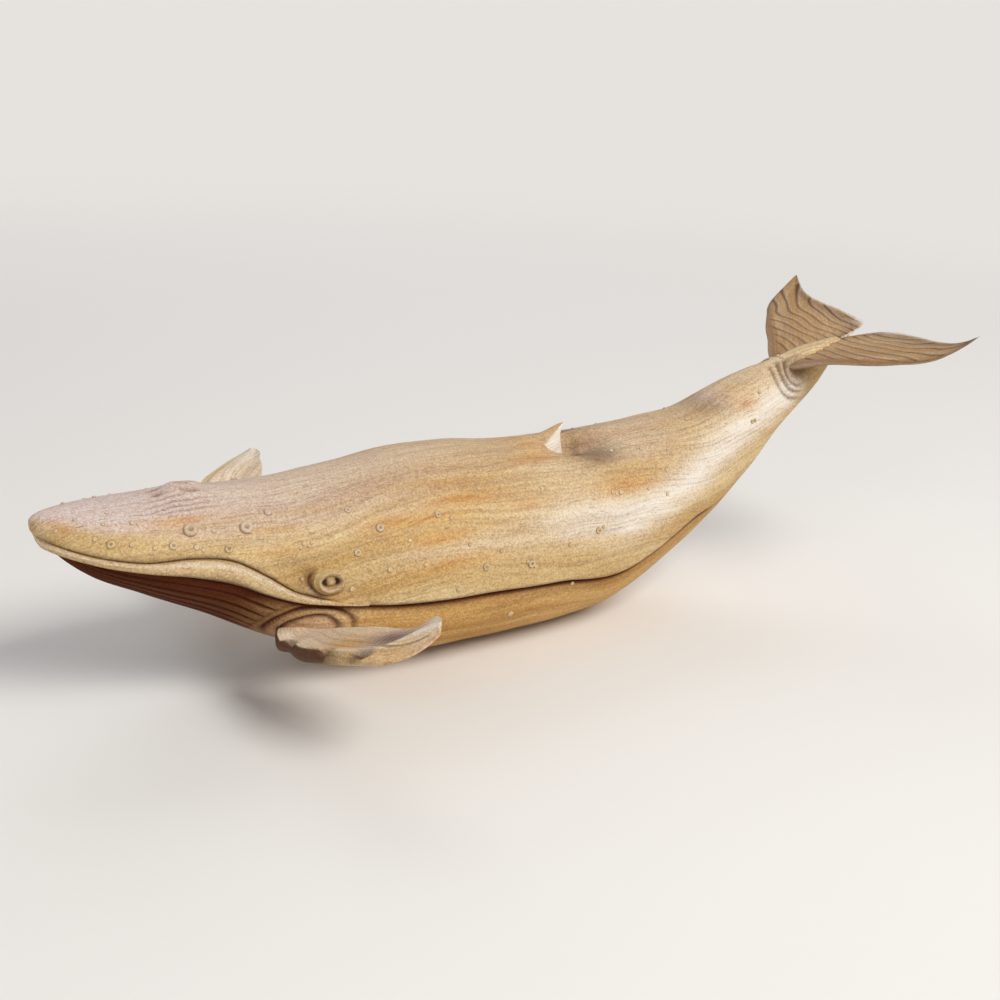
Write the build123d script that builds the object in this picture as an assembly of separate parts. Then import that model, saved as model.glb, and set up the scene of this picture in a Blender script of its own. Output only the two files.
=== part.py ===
from build123d import *
import os
from math import cos, sin, pi, copysign

os.makedirs("parts", exist_ok=True)

# A carved humpback whale, in millimetres. The origin is the middle of the flat that the belly rests on,
# the head points to -X and the tail to +X. A share of the length counts from the snout,
# and a share of the height from the flat.

# Body
body_length = 280
body_height = 63
body_width = 61
rest_from_nose = 136
body_fullness_shares = (0.94, 1.04)
lip_proud = 0.8
belly_step = 0.9
full_step_share = 0.25
overrun = 20

# Ventral pleats
pleat_count = 11
pleat_width = 0.7
pleat_depth = 0.9
pleat_fan = 116
pleat_shares = (0.055, 0.365)
pleat_axis_share = 0.62

# Flippers
flipper_reach = 71.5
flipper_sweep = 31.5
flipper_lift = 20
flipper_thickness = 4
flipper_tubercle = 0.6
flipper_sections = 22
flipper_root_shares = (0.204, 0.357)

# Flukes
fluke_reach = 45
fluke_sweep = 30
fluke_lift = 14
fluke_chord = 40
fluke_thickness_share = 0.14
fluke_incidence = 13.5
fluke_root_shares = (0.947, 1.268)

# Dorsal fin
fin_length = 18.5
fin_height = 9
fin_thickness = 6.5
fin_root_depth = 5
fin_taper = 8
fin_leaf_share = 1.24
fin_front_shares = (0.527, 0.960)

# Blowhole guard and nostrils
guard_length = 19
guard_width = 13
guard_height = 5
guard_shares = (0.108, 0.935)
nostril_length = 3.2
nostril_width = 0.9
nostril_depth = 1.2
nostril_gap = 3.4
nostril_splay = 18
nostril_share = 0.62

# Eyes and eyelids
eye_width = 3.4
eye_proud = 0.9
eye_stem_width = 2
eye_stem_length = 6
eyelid_width = 6.4
eyelid_proud = 1.1
eyelid_seat_depth = 1
bead_shoulder_share = 0.75
bead_crown_share = 0.35
eye_shares = (0.263, 0.445)

# Barnacles
barnacle_width = 3.8
barnacle_proud_share = 0.26
barnacle_depth_share = 0.60
barnacle_rim_share = 0.66
barnacle_crater_share = 0.36
barnacle_foot_share = 0.70

# Dowels and the gap that the glue fills round each set-in piece
flipper_dowel_width = 2
flipper_dowel_length = 14
fluke_dowel_width = 1.6
fluke_dowel_length = 14
fin_dowel_width = 2
fin_dowel_length = 10
belly_dowel_width = 6
belly_dowel_length = 22
jaw_dowel_width = 2.4
jaw_dowel_length = 14
glue_gap = 0.05
X, Y = Vector(1, 0, 0), Vector(0, 1, 0)

# How many corners the carver's outlines have
body_sides = 20
blade_sides = 12
guard_sides = 12
fin_sides = 10
eye_sides = 14
barnacle_sides = 7
peg_sides = 8

# Each body section: its place along the body, top and bottom height, width, and where it is widest
body_shares = [
    (0.002, 0.911, 0.862, 0.045, 0.50),
    (0.008, 0.926, 0.822, 0.130, 0.50),
    (0.020, 0.938, 0.735, 0.246, 0.50),
    (0.050, 0.946, 0.614, 0.410, 0.50),
    (0.100, 0.942, 0.495, 0.574, 0.48),
    (0.160, 0.938, 0.362, 0.705, 0.44),
    (0.221, 0.928, 0.215, 0.820, 0.42),
    (0.300, 0.946, 0.060, 0.945, 0.43),
    (0.382, 0.992, -0.020, 0.995, 0.45),
    (0.461, 0.996, -0.028, 0.990, 0.47),
    (0.539, 0.962, -0.028, 0.955, 0.48),
    (0.589, 0.965, -0.020, 0.920, 0.49),
    (0.636, 0.970, 0.008, 0.870, 0.49),
    (0.700, 0.992, 0.127, 0.750, 0.48),
    (0.771, 1.042, 0.305, 0.590, 0.50),
    (0.832, 1.162, 0.490, 0.443, 0.52),
    (0.893, 1.246, 0.768, 0.295, 0.55),
    (0.943, 1.302, 0.978, 0.197, 0.60),
    (0.990, 1.335, 1.250, 0.082, 0.50),
]

# The gape, along the body and in height, from the snout to the corner of the mouth
mouth_shares = [
    (0.000, 0.850), (0.052, 0.781), (0.090, 0.754), (0.138, 0.756),
    (0.175, 0.727), (0.202, 0.657), (0.232, 0.563), (0.268, 0.508), (0.300, 0.470),
]

# The lower edge of the lip, from the chin to the corner of the mouth
lip_shares = [
    (0.000, 0.806), (0.053, 0.741), (0.094, 0.702), (0.138, 0.668),
    (0.175, 0.619), (0.202, 0.563), (0.232, 0.516), (0.268, 0.487), (0.300, 0.470),
]

# The seam between back and belly, from the corner of the mouth to the underside of the tail stock
seam_shares = [
    (0.300, 0.470), (0.338, 0.444), (0.457, 0.411), (0.535, 0.387), (0.626, 0.349), (0.677, 0.414),
    (0.743, 0.529), (0.785, 0.567), (0.825, 0.659), (0.885, 0.870), (0.935, 1.020), (1.000, 1.200),
]

# Each flipper edge in reach, sweep and lift, from inside the body to the tip
flipper_front_shares = [
    (0.20, 0.16, -0.02), (0.32, 0.12, 0.00), (0.40, 0.02, 0.00), (0.52, 0.06, 0.04), (0.62, 0.10, 0.13),
    (0.74, 0.17, 0.27), (0.86, 0.29, 0.44), (0.94, 0.40, 0.54), (0.98, 0.60, 0.62), (1.00, 0.80, 0.76),
]
flipper_rear_shares = [
    (0.20, 0.42, 0.03), (0.30, 0.44, 0.05), (0.40, 0.52, 0.12), (0.50, 0.66, 0.25), (0.60, 0.78, 0.36),
    (0.70, 0.88, 0.43), (0.79, 0.95, 0.66), (0.86, 1.00, 0.86), (0.93, 0.98, 1.00), (0.98, 0.90, 0.93),
]

# How thick the flipper is along it
flipper_thickness_shares = (0.80, 0.90, 1.00, 1.00, 0.95, 0.80, 0.65, 0.25)

# Each fluke's middle line in sweep, reach and lift, with the chord there
fluke_shares = [
    (0.000, 0.000, -0.160, 0.70), (0.210, 0.090, 0.040, 0.93), (0.387, 0.190, 0.190, 1.11),
    (0.453, 0.333, 0.270, 0.97), (0.510, 0.489, 0.336, 0.81), (0.560, 0.622, 0.393, 0.65),
    (0.633, 0.733, 0.480, 0.53), (0.710, 0.833, 0.564, 0.44), (0.807, 0.911, 0.686, 0.34),
    (0.950, 0.967, 0.893, 0.17), (1.040, 1.000, 1.050, 0.04),
]

# The dorsal fin's outline from its front, round the tip and down its hollow rear edge
fin_front_edge_shares = [(0.00, 0.00), (0.50, 0.16), (0.95, 0.50)]
fin_rear_edge_shares = [(0.95, 0.50), (0.87, 0.05), (1.00, -0.40)]

# The guard's sections, along it, with their size
guard_section_shares = [(0.00, 0.15), (0.25, 0.72), (0.55, 1.00), (0.80, 0.70), (1.00, 0.15)]

# Each dowel's place along the body and its height; those of the flukes go along the root chord
belly_dowel_shares = [(0.35, 0.440), (0.50, 0.398), (0.63, 0.350)]
jaw_dowel_shares = [(0.10, 0.727), (0.20, 0.615)]
flipper_dowel_shares = (0.04, 0.24)
fluke_dowel_shares = (-0.10, 0.16)
fin_dowel_share = 0.55

# Each barnacle: its place along the body, its turn round the body from straight up, and its size
rostrum_shares = [
    (0.064, 0.385, 0.60), (0.119, 0.365, 0.60), (0.170, 0.360, 0.60), (0.138, 0.285, 1.00), (0.192, 0.262, 0.95),
]
flank_shares = [
    (0.297, 0.207, 1.00), (0.324, 0.279, 1.00), (0.296, 0.350, 0.80), (0.388, 0.268, 0.80),
    (0.436, 0.450, 0.80), (0.492, 0.460, 0.90), (0.583, 0.392, 0.80),
]


def along(share):
    return share * body_length - rest_from_nose


def height(share):
    return share * body_height


def oval(middle, across, above, below, sides, fullness_shares=(1, 1)):
    """The corners of an oval about its middle, from its half axes across, above and below.
    Each half is fuller than an ellipse where its share is under 1."""
    corners = []
    for step in range(sides):
        turn = 2 * pi * step / sides
        half, fullness = (above, fullness_shares[0]) if sin(turn) > 0 else (below, fullness_shares[1])
        wide = copysign(abs(cos(turn)) ** fullness, cos(turn))
        corners.append(middle + across * wide + half * abs(sin(turn)) ** fullness)
    return corners


def face_through(corners):
    return Face(Wire.make_polygon(corners))


def body_section(shares, wider, shallower):
    place, top, bottom, width, widest = shares
    low = height(bottom) + shallower
    middle_height = low + widest * (height(top) - low)
    half_width = width * body_width / 2 + wider * min(1, width / full_step_share)
    return face_through(oval(
        Vector(along(place), 0, middle_height), Vector(0, half_width, 0),
        Vector(0, 0, height(top) - middle_height), Vector(0, 0, low - middle_height),
        body_sides, body_fullness_shares))


def body_blank(wider=0, shallower=0):
    return loft([body_section(shares, wider, shallower) for shares in body_shares])


def side_curve(shares):
    return Polyline(*[(along(place), 0, height(level)) for place, level in shares])


def side_slab(curves):
    """A slab right across the body, from curves that close in the side view."""
    outline = Wire([edge for curve in curves for edge in curve.edges()])
    return extrude(Face(outline), amount=body_width, dir=(0, 1, 0), both=True)


def below_curves(first, second):
    """Everything under two curves that meet, drawn in the side view."""
    start, end = first @ 0, second @ 1
    base = Polyline(end, (end.X, 0, -overrun), (start.X, 0, -overrun), start)
    return side_slab([first, second, base])


def between_curves(upper, lower):
    return side_slab([Line(lower @ 0, upper @ 0), upper, lower])


def between(values, share):
    """The value at a share of the way along evenly spaced values."""
    place = share * (len(values) - 1)
    index = min(int(place), len(values) - 2)
    return values[index] + (values[index + 1] - values[index]) * (place - index)


def leaf_corners(middle, normal, incidence, chord, thickness_share):
    """A leaf-shaped section. All sections of a blade lie in parallel planes and differ only in size."""
    flat = (Vector(1, 0, 0) - normal * normal.X).normalized()
    across = flat * cos(incidence * pi / 180) + normal.cross(flat) * sin(incidence * pi / 180)
    up = normal.cross(across) * (chord * thickness_share / 2)
    return oval(middle, across * (chord / 2), up, -up, blade_sides)


def knife_cut_solid(sections, twisted=False):
    """A solid with one flat facet between each two corners of each two sections, or two where the blade twists."""
    faces = [face_through(sections[0]), face_through(sections[-1])]
    for near, far in zip(sections, sections[1:]):
        for index in range(len(near)):
            ahead = (index + 1) % len(near)
            if twisted:
                faces.append(face_through([near[index], near[ahead], far[ahead]]))
                faces.append(face_through([near[index], far[ahead], far[index]]))
            else:
                faces.append(face_through([near[index], near[ahead], far[ahead], far[index]]))
    return Solid(Shell(faces))


def flipper_edge(shares):
    root = Vector(along(flipper_root_shares[0]), 0, height(flipper_root_shares[1]))
    return Spline(*[root + Vector(sweep * flipper_sweep, -reach * flipper_reach, lift * flipper_lift)
                    for reach, sweep, lift in shares])


def left_flipper_blank():
    """A blade between its two edges that twists up at the tip, with its leading edge cut into tubercles."""
    front, rear = flipper_edge(flipper_front_shares), flipper_edge(flipper_rear_shares)
    sections = []
    for step in range(flipper_sections):
        share = step / (flipper_sections - 1)
        half_chord = (rear @ share - front @ share) / 2
        up = half_chord.cross(rear % share + front % share).normalized()
        up = up * (between(flipper_thickness_shares, share) * flipper_thickness / 2)
        bump = flipper_tubercle * (-1) ** step if 6 < step < flipper_sections - 4 else 0
        half_chord = half_chord * (1 + bump / 2 / half_chord.length)
        sections.append(oval(rear @ share - half_chord, half_chord, up, -up, blade_sides))
    return knife_cut_solid(sections, twisted=True)


def fluke_point(sweep, reach, lift):
    root = Vector(along(fluke_root_shares[0]), 0, height(fluke_root_shares[1]))
    return root + Vector(sweep * fluke_sweep, -reach * fluke_reach, lift * fluke_lift)


def left_fluke_blank():
    return knife_cut_solid([
        leaf_corners(fluke_point(sweep, reach, lift), Vector(0, -1, 0), fluke_incidence,
                     chord * fluke_chord, fluke_thickness_share)
        for sweep, reach, lift, chord in fluke_shares])


def dorsal_fin_blank():
    """A side profile, thinned to a leaf in plan that tapers upwards."""
    x, z = along(fin_front_shares[0]), height(fin_front_shares[1])
    foot = z - fin_root_depth
    front, rear = [
        Spline(*[(x + run * fin_length, 0, z + rise * fin_height) for run, rise in shares])
        for shares in (fin_front_edge_shares, fin_rear_edge_shares)]
    root = Polyline(rear @ 1, (x + fin_length, 0, foot), (x, 0, foot), front @ 0)
    profile = extrude(Face(Wire([front, rear, *root.edges()])), amount=fin_thickness, dir=(0, 1, 0), both=True)
    half_thick = Vector(0, fin_thickness / 2, 0)
    leaf = face_through(oval(
        Vector(x + fin_length / 2, 0, foot), Vector(fin_length * fin_leaf_share / 2, 0, 0),
        half_thick, -half_thick, fin_sides))
    return profile & extrude(leaf, amount=fin_root_depth + fin_height, dir=(0, 0, 1), taper=fin_taper)


def blowhole_guard():
    """The low dome over the blowhole, with a slot for each nostril."""
    x, z = along(guard_shares[0]), height(guard_shares[1])
    sections = []
    for place, size in guard_section_shares:
        up = Vector(0, 0, guard_height / 2 * size)
        sections.append(oval(
            Vector(x + place * guard_length, 0, z), Y * (guard_width / 2 * size), up, -up, guard_sides))
    dome = knife_cut_solid(sections)
    for side in (-1, 1):
        slot = Box(nostril_length, nostril_width, nostril_depth * 2)
        mouth_of_slot = Pos(x + nostril_share * guard_length, side * nostril_gap / 2, z + guard_height / 2)
        dome -= mouth_of_slot * Rot(0, 0, side * nostril_splay) * slot
    return dome


def pleats():
    """Thin plates fanned about the throat's own axis, so that the pleats draw together at the chin."""
    start, end = [along(share) for share in pleat_shares]
    plate = Box(end - start, pleat_width, body_height, align=(Align.MIN, Align.CENTER, Align.MAX))
    uncut = body_blank(-belly_step - pleat_depth, pleat_depth)
    return [
        Pos(start, 0, height(pleat_axis_share)) * Rot((index / (pleat_count - 1) - 0.5) * pleat_fan, 0, 0) * plate
        - uncut for index in range(pleat_count)]


def skin(blank, place, turn_share):
    """The plane that touches the left skin at a turn round the body from straight up."""
    middle_height = next(
        height(between([low[1] + low[2], high[1] + high[2]], (place - low[0]) / (high[0] - low[0])) / 2)
        for low, high in zip(body_shares, body_shares[1:]) if low[0] <= place <= high[0])
    outward = Vector(0, -sin(turn_share * pi), cos(turn_share * pi))
    ray = Axis((along(place), 0, middle_height), outward)
    hits = [hit for face in blank.faces_intersected_by_axis(ray) for hit in face.find_intersection_points(ray)]
    point, normal = max(hits, key=lambda hit: (hit[0] - ray.position).dot(outward))
    return Plane(origin=point, x_dir=(1, 0, 0), z_dir=normal if normal.dot(outward) > 0 else -normal)


def whittled(profile, sides):
    """A small round piece cut in flats, from the radius and the height of each ring, with its axis along Z."""
    return knife_cut_solid([oval(Vector(0, 0, z), X * radius, Y * radius, -Y * radius, sides)
                            for radius, z in profile])


def eye_bead(gap=0):
    """A domed bead on a stem. Its shoulder sits on the floor of the eyelid's seat."""
    radius, stem, foot = eye_width / 2 + gap, eye_stem_width / 2 + gap, eye_stem_length + gap
    return whittled([
        (stem, -foot), (stem, -eyelid_seat_depth), (radius, -eyelid_seat_depth), (radius, 0),
        (radius * bead_shoulder_share, eye_proud * bead_shoulder_share), (radius * bead_crown_share, eye_proud)],
        eye_sides)


def eyelid():
    """A ring with a raised rim that slopes in to the bead."""
    hole, outside = eye_width / 2 + glue_gap, eyelid_width / 2
    rim = (hole + outside) / 2
    ring = whittled([(outside, -eyelid_seat_depth), (outside, 0), (rim, eyelid_proud)], eye_sides)
    return ring - whittled([(hole, -2 * eyelid_seat_depth), (hole, eyelid_proud / 2), (rim, eyelid_proud)], eye_sides)


def eyelid_seat():
    outside = eyelid_width / 2 + glue_gap
    return whittled([(outside, -eyelid_seat_depth), (outside, eye_width)], eye_sides)


def barnacle(size):
    """A plug that narrows into its hole, with a cratered cone above the skin."""
    width, radius = barnacle_width * size, barnacle_width * size / 2
    crater, proud = radius * barnacle_crater_share, width * barnacle_proud_share
    return whittled([
        (radius * barnacle_foot_share, -width * barnacle_depth_share), (radius, 0),
        (radius * barnacle_rim_share, proud), (crater, proud), (crater / 2, proud / 3)], barnacle_sides)


def barnacle_hole(size):
    """The plug's hole, carried on outwards at the plug's own slope."""
    radius, depth = barnacle_width * size / 2, barnacle_width * size * barnacle_depth_share
    slope = radius * (1 - barnacle_foot_share)
    return whittled([(radius - slope + glue_gap, -depth), (radius + slope + glue_gap, depth)], barnacle_sides)


def set_in(blank, shares, make):
    return [skin(blank, place, turn_share) * make(size) for place, turn_share, size in shares]


def right_of(shapes):
    return [mirror(shape, about=Plane.XZ) for shape in shapes]


def dowel(middle, direction, width, length, gap):
    """A peg cut in flats, or with the gap its hole."""
    radius, half_length = width / 2 + gap, length / 2 + gap
    return Plane(origin=middle, z_dir=direction) * whittled([(radius, -half_length), (radius, half_length)], peg_sides)


def left_flipper_dowel(gap=0):
    front, rear = flipper_edge(flipper_front_shares), flipper_edge(flipper_rear_shares)
    root, further = [(front @ share + rear @ share) / 2 for share in flipper_dowel_shares]
    return dowel(root, further - root, flipper_dowel_width, flipper_dowel_length, gap)


def fluke_dowels(gap=0):
    tilt = fluke_incidence * pi / 180
    return [
        dowel(fluke_point(0, 0, 0) + Vector(cos(tilt), 0, sin(tilt)) * (share * fluke_chord),
              Vector(0, 1, 0), fluke_dowel_width, fluke_dowel_length, gap)
        for share in fluke_dowel_shares]


def fin_dowel(gap=0):
    foot = Vector(
        along(fin_front_shares[0]) + fin_dowel_share * fin_length, 0, height(fin_front_shares[1]) - fin_root_depth)
    return dowel(foot, Vector(0, 0, 1), fin_dowel_width, fin_dowel_length, gap)


def upright_dowels(shares, width, length, gap):
    return [dowel(Vector(along(place), 0, height(level)), Vector(0, 0, 1), width, length, gap)
            for place, level in shares]


def belly_dowels(gap=0):
    return upright_dowels(belly_dowel_shares, belly_dowel_width, belly_dowel_length, gap)


def jaw_dowels(gap=0):
    return upright_dowels(jaw_dowel_shares, jaw_dowel_width, jaw_dowel_length, gap)


# Side curves and blanks
mouth, lip, seam = [side_curve(shares) for shares in (mouth_shares, lip_shares, seam_shares)]
blank = body_blank()

# Pieces set into the body
left_flipper = left_flipper_blank()
left_fluke = left_fluke_blank()
dorsal_fin = dorsal_fin_blank()
eye_plane = skin(blank, *eye_shares)
left_eye = eye_plane * eye_bead()
left_eyelid = eye_plane * eyelid()
left_tubercles = set_in(blank, rostrum_shares, barnacle)
left_barnacles = set_in(blank, flank_shares, barnacle)

# Back: the upper body, with everything that is set into it cut out
left_holes = [eye_plane * eye_bead(glue_gap), eye_plane * eyelid_seat(), left_fluke]
left_holes += set_in(blank, rostrum_shares + flank_shares, barnacle_hole)
back = (blank + blowhole_guard()) - below_curves(mouth, seam)
back -= left_holes + right_of(left_holes) + [dorsal_fin, fin_dowel(glue_gap)]
back -= fluke_dowels(glue_gap) + belly_dowels(glue_gap) + jaw_dowels(glue_gap)

# Lower jaw: the lip, which stands proud of the head and the throat
flippers = [left_flipper] + right_of([left_flipper])
lower_jaw = body_blank(lip_proud) & between_curves(mouth, lip)
lower_jaw -= flippers + jaw_dowels(glue_gap)

# Belly: set back under the seam, pleated along the throat and cut flat to stand on
belly = body_blank(-belly_step) & below_curves(lip, seam)
floor = Box(2 * body_length, 2 * body_width, overrun, align=(Align.CENTER, Align.CENTER, Align.MAX))
flipper_holes = [left_flipper_dowel(glue_gap)] + right_of([left_flipper_dowel(glue_gap)])
belly -= [floor, *pleats()]
belly -= flippers + flipper_holes + belly_dowels(glue_gap) + jaw_dowels(glue_gap)

# Blades with their dowel holes
left_flipper -= left_flipper_dowel(glue_gap)
left_fluke -= fluke_dowels(glue_gap)
dorsal_fin -= fin_dowel(glue_gap)

pieces = {
    "back": [back],
    "lower_jaw": [lower_jaw],
    "belly": [belly],
    "dorsal_fin": [dorsal_fin],
    "dorsal_fin_dowel": [fin_dowel()],
    "belly_dowels": belly_dowels(),
    "jaw_dowels": jaw_dowels(),
    "fluke_dowels": fluke_dowels(),
    "rostrum_tubercles": left_tubercles + right_of(left_tubercles),
}
left_pieces = {
    "flipper": [left_flipper],
    "flipper_dowel": [left_flipper_dowel()],
    "fluke": [left_fluke],
    "eye": [left_eye],
    "eyelid": [left_eyelid],
    "flank_barnacles": left_barnacles,
}
for name, shapes in left_pieces.items():
    pieces[f"left_{name}"] = shapes
    pieces[f"right_{name}"] = right_of(shapes)

for name, shapes in pieces.items():
    export_step(Compound([solid for shape in shapes for solid in shape.solids()]), f"parts/{name}.step")
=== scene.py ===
import bmesh
import bpy
import numpy as np
from math import pi, radians
from mathutils import Matrix, Vector, noise
from mathutils.bvhtree import BVHTree


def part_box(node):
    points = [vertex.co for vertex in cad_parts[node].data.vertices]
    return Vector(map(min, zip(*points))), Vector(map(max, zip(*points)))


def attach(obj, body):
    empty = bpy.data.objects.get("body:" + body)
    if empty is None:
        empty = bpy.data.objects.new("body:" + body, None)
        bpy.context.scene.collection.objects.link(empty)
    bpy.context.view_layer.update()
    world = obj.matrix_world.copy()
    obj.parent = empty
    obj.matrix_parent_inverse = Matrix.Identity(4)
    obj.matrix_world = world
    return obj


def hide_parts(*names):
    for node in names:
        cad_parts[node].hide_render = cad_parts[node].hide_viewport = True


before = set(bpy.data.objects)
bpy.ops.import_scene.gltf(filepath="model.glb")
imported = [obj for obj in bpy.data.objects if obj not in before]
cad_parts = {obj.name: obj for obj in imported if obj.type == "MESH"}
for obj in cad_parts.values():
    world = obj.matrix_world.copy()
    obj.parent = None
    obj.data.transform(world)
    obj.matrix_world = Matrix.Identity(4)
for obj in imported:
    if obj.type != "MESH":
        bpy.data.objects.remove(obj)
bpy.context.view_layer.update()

# A carved humpback whale in pale wood. Lengths are in millimetres: x from the snout towards the tail,
# y negative on the left side, z up from the flat under the belly. A share counts from the snout or the flat.
MM = 0.001
PER_METRE = 1000
body_length = 280
body_height = 63
body_width = 61
rest_from_nose = 136
upper_fullness = 0.94
lower_fullness = 1.04
tail_round = 2.5
lip_proud = 0.8
belly_step = 1.2
pleat_count = 9
pleat_width = 0.40
pleat_depth = 0.70
MIRRORED = np.array([1, -1, 1])

# Each body section: its place along the body, top and bottom height, width, and where it is widest
body_shares = [
    (0.002, 0.911, 0.862, 0.045, 0.50), (0.008, 0.926, 0.822, 0.130, 0.50),
    (0.020, 0.938, 0.735, 0.246, 0.50), (0.050, 0.946, 0.614, 0.410, 0.50),
    (0.100, 0.942, 0.495, 0.574, 0.48), (0.160, 0.938, 0.362, 0.705, 0.44),
    (0.221, 0.928, 0.215, 0.820, 0.42), (0.300, 0.946, 0.060, 0.945, 0.43),
    (0.382, 0.992, -0.020, 0.995, 0.45), (0.461, 0.996, -0.028, 0.990, 0.47),
    (0.539, 0.962, -0.028, 0.955, 0.48), (0.589, 0.965, -0.020, 0.920, 0.49),
    (0.636, 0.970, 0.008, 0.870, 0.49), (0.700, 0.992, 0.127, 0.750, 0.48),
    (0.771, 1.042, 0.305, 0.590, 0.50), (0.832, 1.162, 0.490, 0.443, 0.52),
    (0.893, 1.246, 0.768, 0.295, 0.55), (0.943, 1.302, 0.978, 0.197, 0.60),
    (0.990, 1.335, 1.250, 0.082, 0.50),
]
mouth_shares = [
    (0.000, 0.850), (0.052, 0.781), (0.090, 0.754), (0.138, 0.756),
    (0.175, 0.727), (0.202, 0.657), (0.232, 0.563), (0.268, 0.508), (0.300, 0.470),
]
lip_shares = [
    (0.000, 0.806), (0.053, 0.741), (0.094, 0.702), (0.138, 0.668),
    (0.175, 0.619), (0.202, 0.563), (0.232, 0.516), (0.268, 0.487), (0.300, 0.470),
]
seam_shares = [
    (0.300, 0.470), (0.338, 0.444), (0.457, 0.411), (0.535, 0.387), (0.626, 0.349), (0.677, 0.414),
    (0.743, 0.529), (0.785, 0.567), (0.825, 0.659), (0.885, 0.870), (0.935, 1.020), (1.000, 1.200),
]

# Blade outlines on the left side: x, y and z of the leading edge, then of the trailing edge
flipper_edges = [
    (64.0, -15.0, 21.5, 74.0, -13.0, 24.5), (58.6, -25.0, 23.4, 67.0, -22.5, 24.2),
    (57.3, -30.0, 22.4, 69.0, -26.5, 24.4), (58.7, -34.0, 23.2, 72.5, -30.0, 25.3),
    (59.2, -40.0, 23.7, 77.0, -35.5, 27.2), (60.8, -47.0, 26.0, 81.3, -42.0, 29.6),
    (63.0, -54.0, 28.6, 84.2, -48.5, 31.6), (66.6, -62.0, 31.5, 86.0, -54.0, 34.0),
    (70.5, -67.2, 33.4, 87.2, -57.5, 37.0), (75.7, -69.8, 35.4, 88.2, -59.8, 39.6),
    (80.2, -70.6, 37.6, 88.4, -62.3, 41.2), (84.6, -70.2, 40.0, 87.6, -65.6, 42.2),
]
right_tip = [(84.6, -70.2, 40.0, 88.9, -63.2, 42.7), (87.2, -69.4, 41.7, 88.6, -65.8, 43.2)]
fluke_edges = [
    (250.5, 0.0, 74.6, 281.5, 0.0, 83.8), (252.4, -4.0, 75.8, 293.5, -4.0, 85.6),
    (255.0, -9.0, 78.0, 297.9, -8.5, 86.4), (259.6, -15.0, 80.2, 297.9, -15.0, 87.0),
    (264.5, -22.0, 81.4, 296.5, -22.0, 88.0), (269.5, -28.0, 82.4, 294.8, -28.0, 88.8),
    (274.0, -33.0, 83.8, 294.4, -33.0, 89.6), (278.0, -37.5, 85.0, 295.0, -37.5, 90.6),
    (283.0, -41.0, 87.0, 296.0, -41.2, 92.4), (290.5, -43.4, 91.0, 296.8, -43.5, 93.8),
    (295.6, -44.5, 94.2, 297.0, -44.7, 94.78),
]
fin_edges = [
    (146.5, 0.0, 55.5, 164.6, 0.0, 54.5), (147.0, 0.0, 59.6, 163.6, 0.0, 57.2),
    (150.5, 0.0, 61.0, 163.2, 0.0, 59.6), (154.5, 0.0, 62.1, 163.2, 0.0, 61.2),
    (158.5, 0.0, 63.3, 163.4, 0.0, 62.6), (162.0, 0.0, 64.6, 164.2, 0.0, 64.2),
    (164.4, 0.0, 65.3, 165.0, 0.0, 65.2),
]
flipper_thick = [(0.0, 4.4), (0.3, 5.0), (0.6, 5.2), (0.85, 4.0), (1.0, 1.6)]
fluke_thick = [(0.0, 4.6), (0.2, 4.4), (0.5, 2.9), (0.8, 1.8), (1.0, 0.5)]
fin_thick = [(0.0, 8.8), (0.3, 7.4), (0.5, 5.6), (0.75, 3.3), (0.9, 1.8), (1.0, 0.6)]
scallop_reach = (34.0, 49.5, 61.0)
flipper_root = (69.5, 23.0)
fluke_root = (256.0, 75.5)
fluke_ring_middle = (299.0, 8.0)
nostril_place = (42.0, 2.4)

# Ovals on the body and the blades: the middle along and across, half the length and half the width. Across
# is the way out from the ridge, up from the flat or down over the skin, and on a blade all four are shares.
guard_oval = (39.5, 0.0, 9.45, 7.0)
front_fold_oval = (33.5, 1.6, 1.8, 0.9)
wrinkle_oval = (38.0, 7.0, 11.0, 3.6)
eye_hollow_oval = (68.3, 38.2, 2.34, 3.9)
saddle_oval = (142.0, 0.0, 12.0, 12.0)
fin_foot_oval = (152.0, 0.0, 7.0, 6.0)
fin_hollow_oval = (167.5, 5.5, 10.0, 5.0)
fin_ridge_oval = (173.0, 0.0, 9.5, 3.0)
fin_knot_oval = (154.0, 60.6, 0.8, 0.8)
fluke_pocket_oval = (256.0, 75.7, 6.0, 3.6)
fluke_corner_oval = (297.0, 8.0, 3.2, 3.2)
flipper_hollow_shares = (0.73, 0.68, 0.12, 0.26)
flipper_stain_shares = (0.56, 0.40, 0.11, 0.30)

# How proud each form stands, and how deep each cut goes
guard_proud = 1.9
nostril_rim_proud = 0.8
nostril_depth = 1.5
front_fold_depth = 0.9
wrinkle_depth = 0.4
eye_hollow_depth = 1.7
lid_groove_depth = 0.5
saddle_depth = 0.9
fin_foot_proud = 1.6
fin_hollow_depth = 5.0
fin_ridge_proud = 1.5
fluke_roll_proud = 0.7
fluke_fold_depth = 0.6
fluke_pocket_depth = 1.0
fluke_ring_depth = 0.42
flipper_root_proud = 1.5
flipper_fold_depth = 0.9

# How much shade is painted in each cut, along the edges and the seam, and over the throat, from 0 to 1
nostril_shade = 0.70
front_fold_shade = 0.60
wrinkle_shade = 0.55
eye_hollow_shade = 0.45
lid_groove_shade = 0.65
fluke_fold_shade = 0.60
fluke_pocket_shade = 0.75
fluke_ring_shade = 0.62
flipper_fold_shade = 0.70
edge_shade = 0.75
seam_shade = 0.95
pleat_shade = 0.50
throat_shade = 0.93

# The unevenness of each surface or pattern: its size along the skin, its seed and its height
back_waver = (16, 3, 0.35)
lip_waver = (12, 5, 0.15)
belly_waver = (14, 8, 0.25)
skin_waver = (2.6, 21, 1.0)
wrinkle_waver = (6, 31, 1.6)
fluke_fold_waver = (6, 41, 0.25)
pleat_waver = (18, 51, 0.12)
flipper_fold_waver = (6, 61, 0.35)
ring_waver = (12, 71, 2.0)

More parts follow.
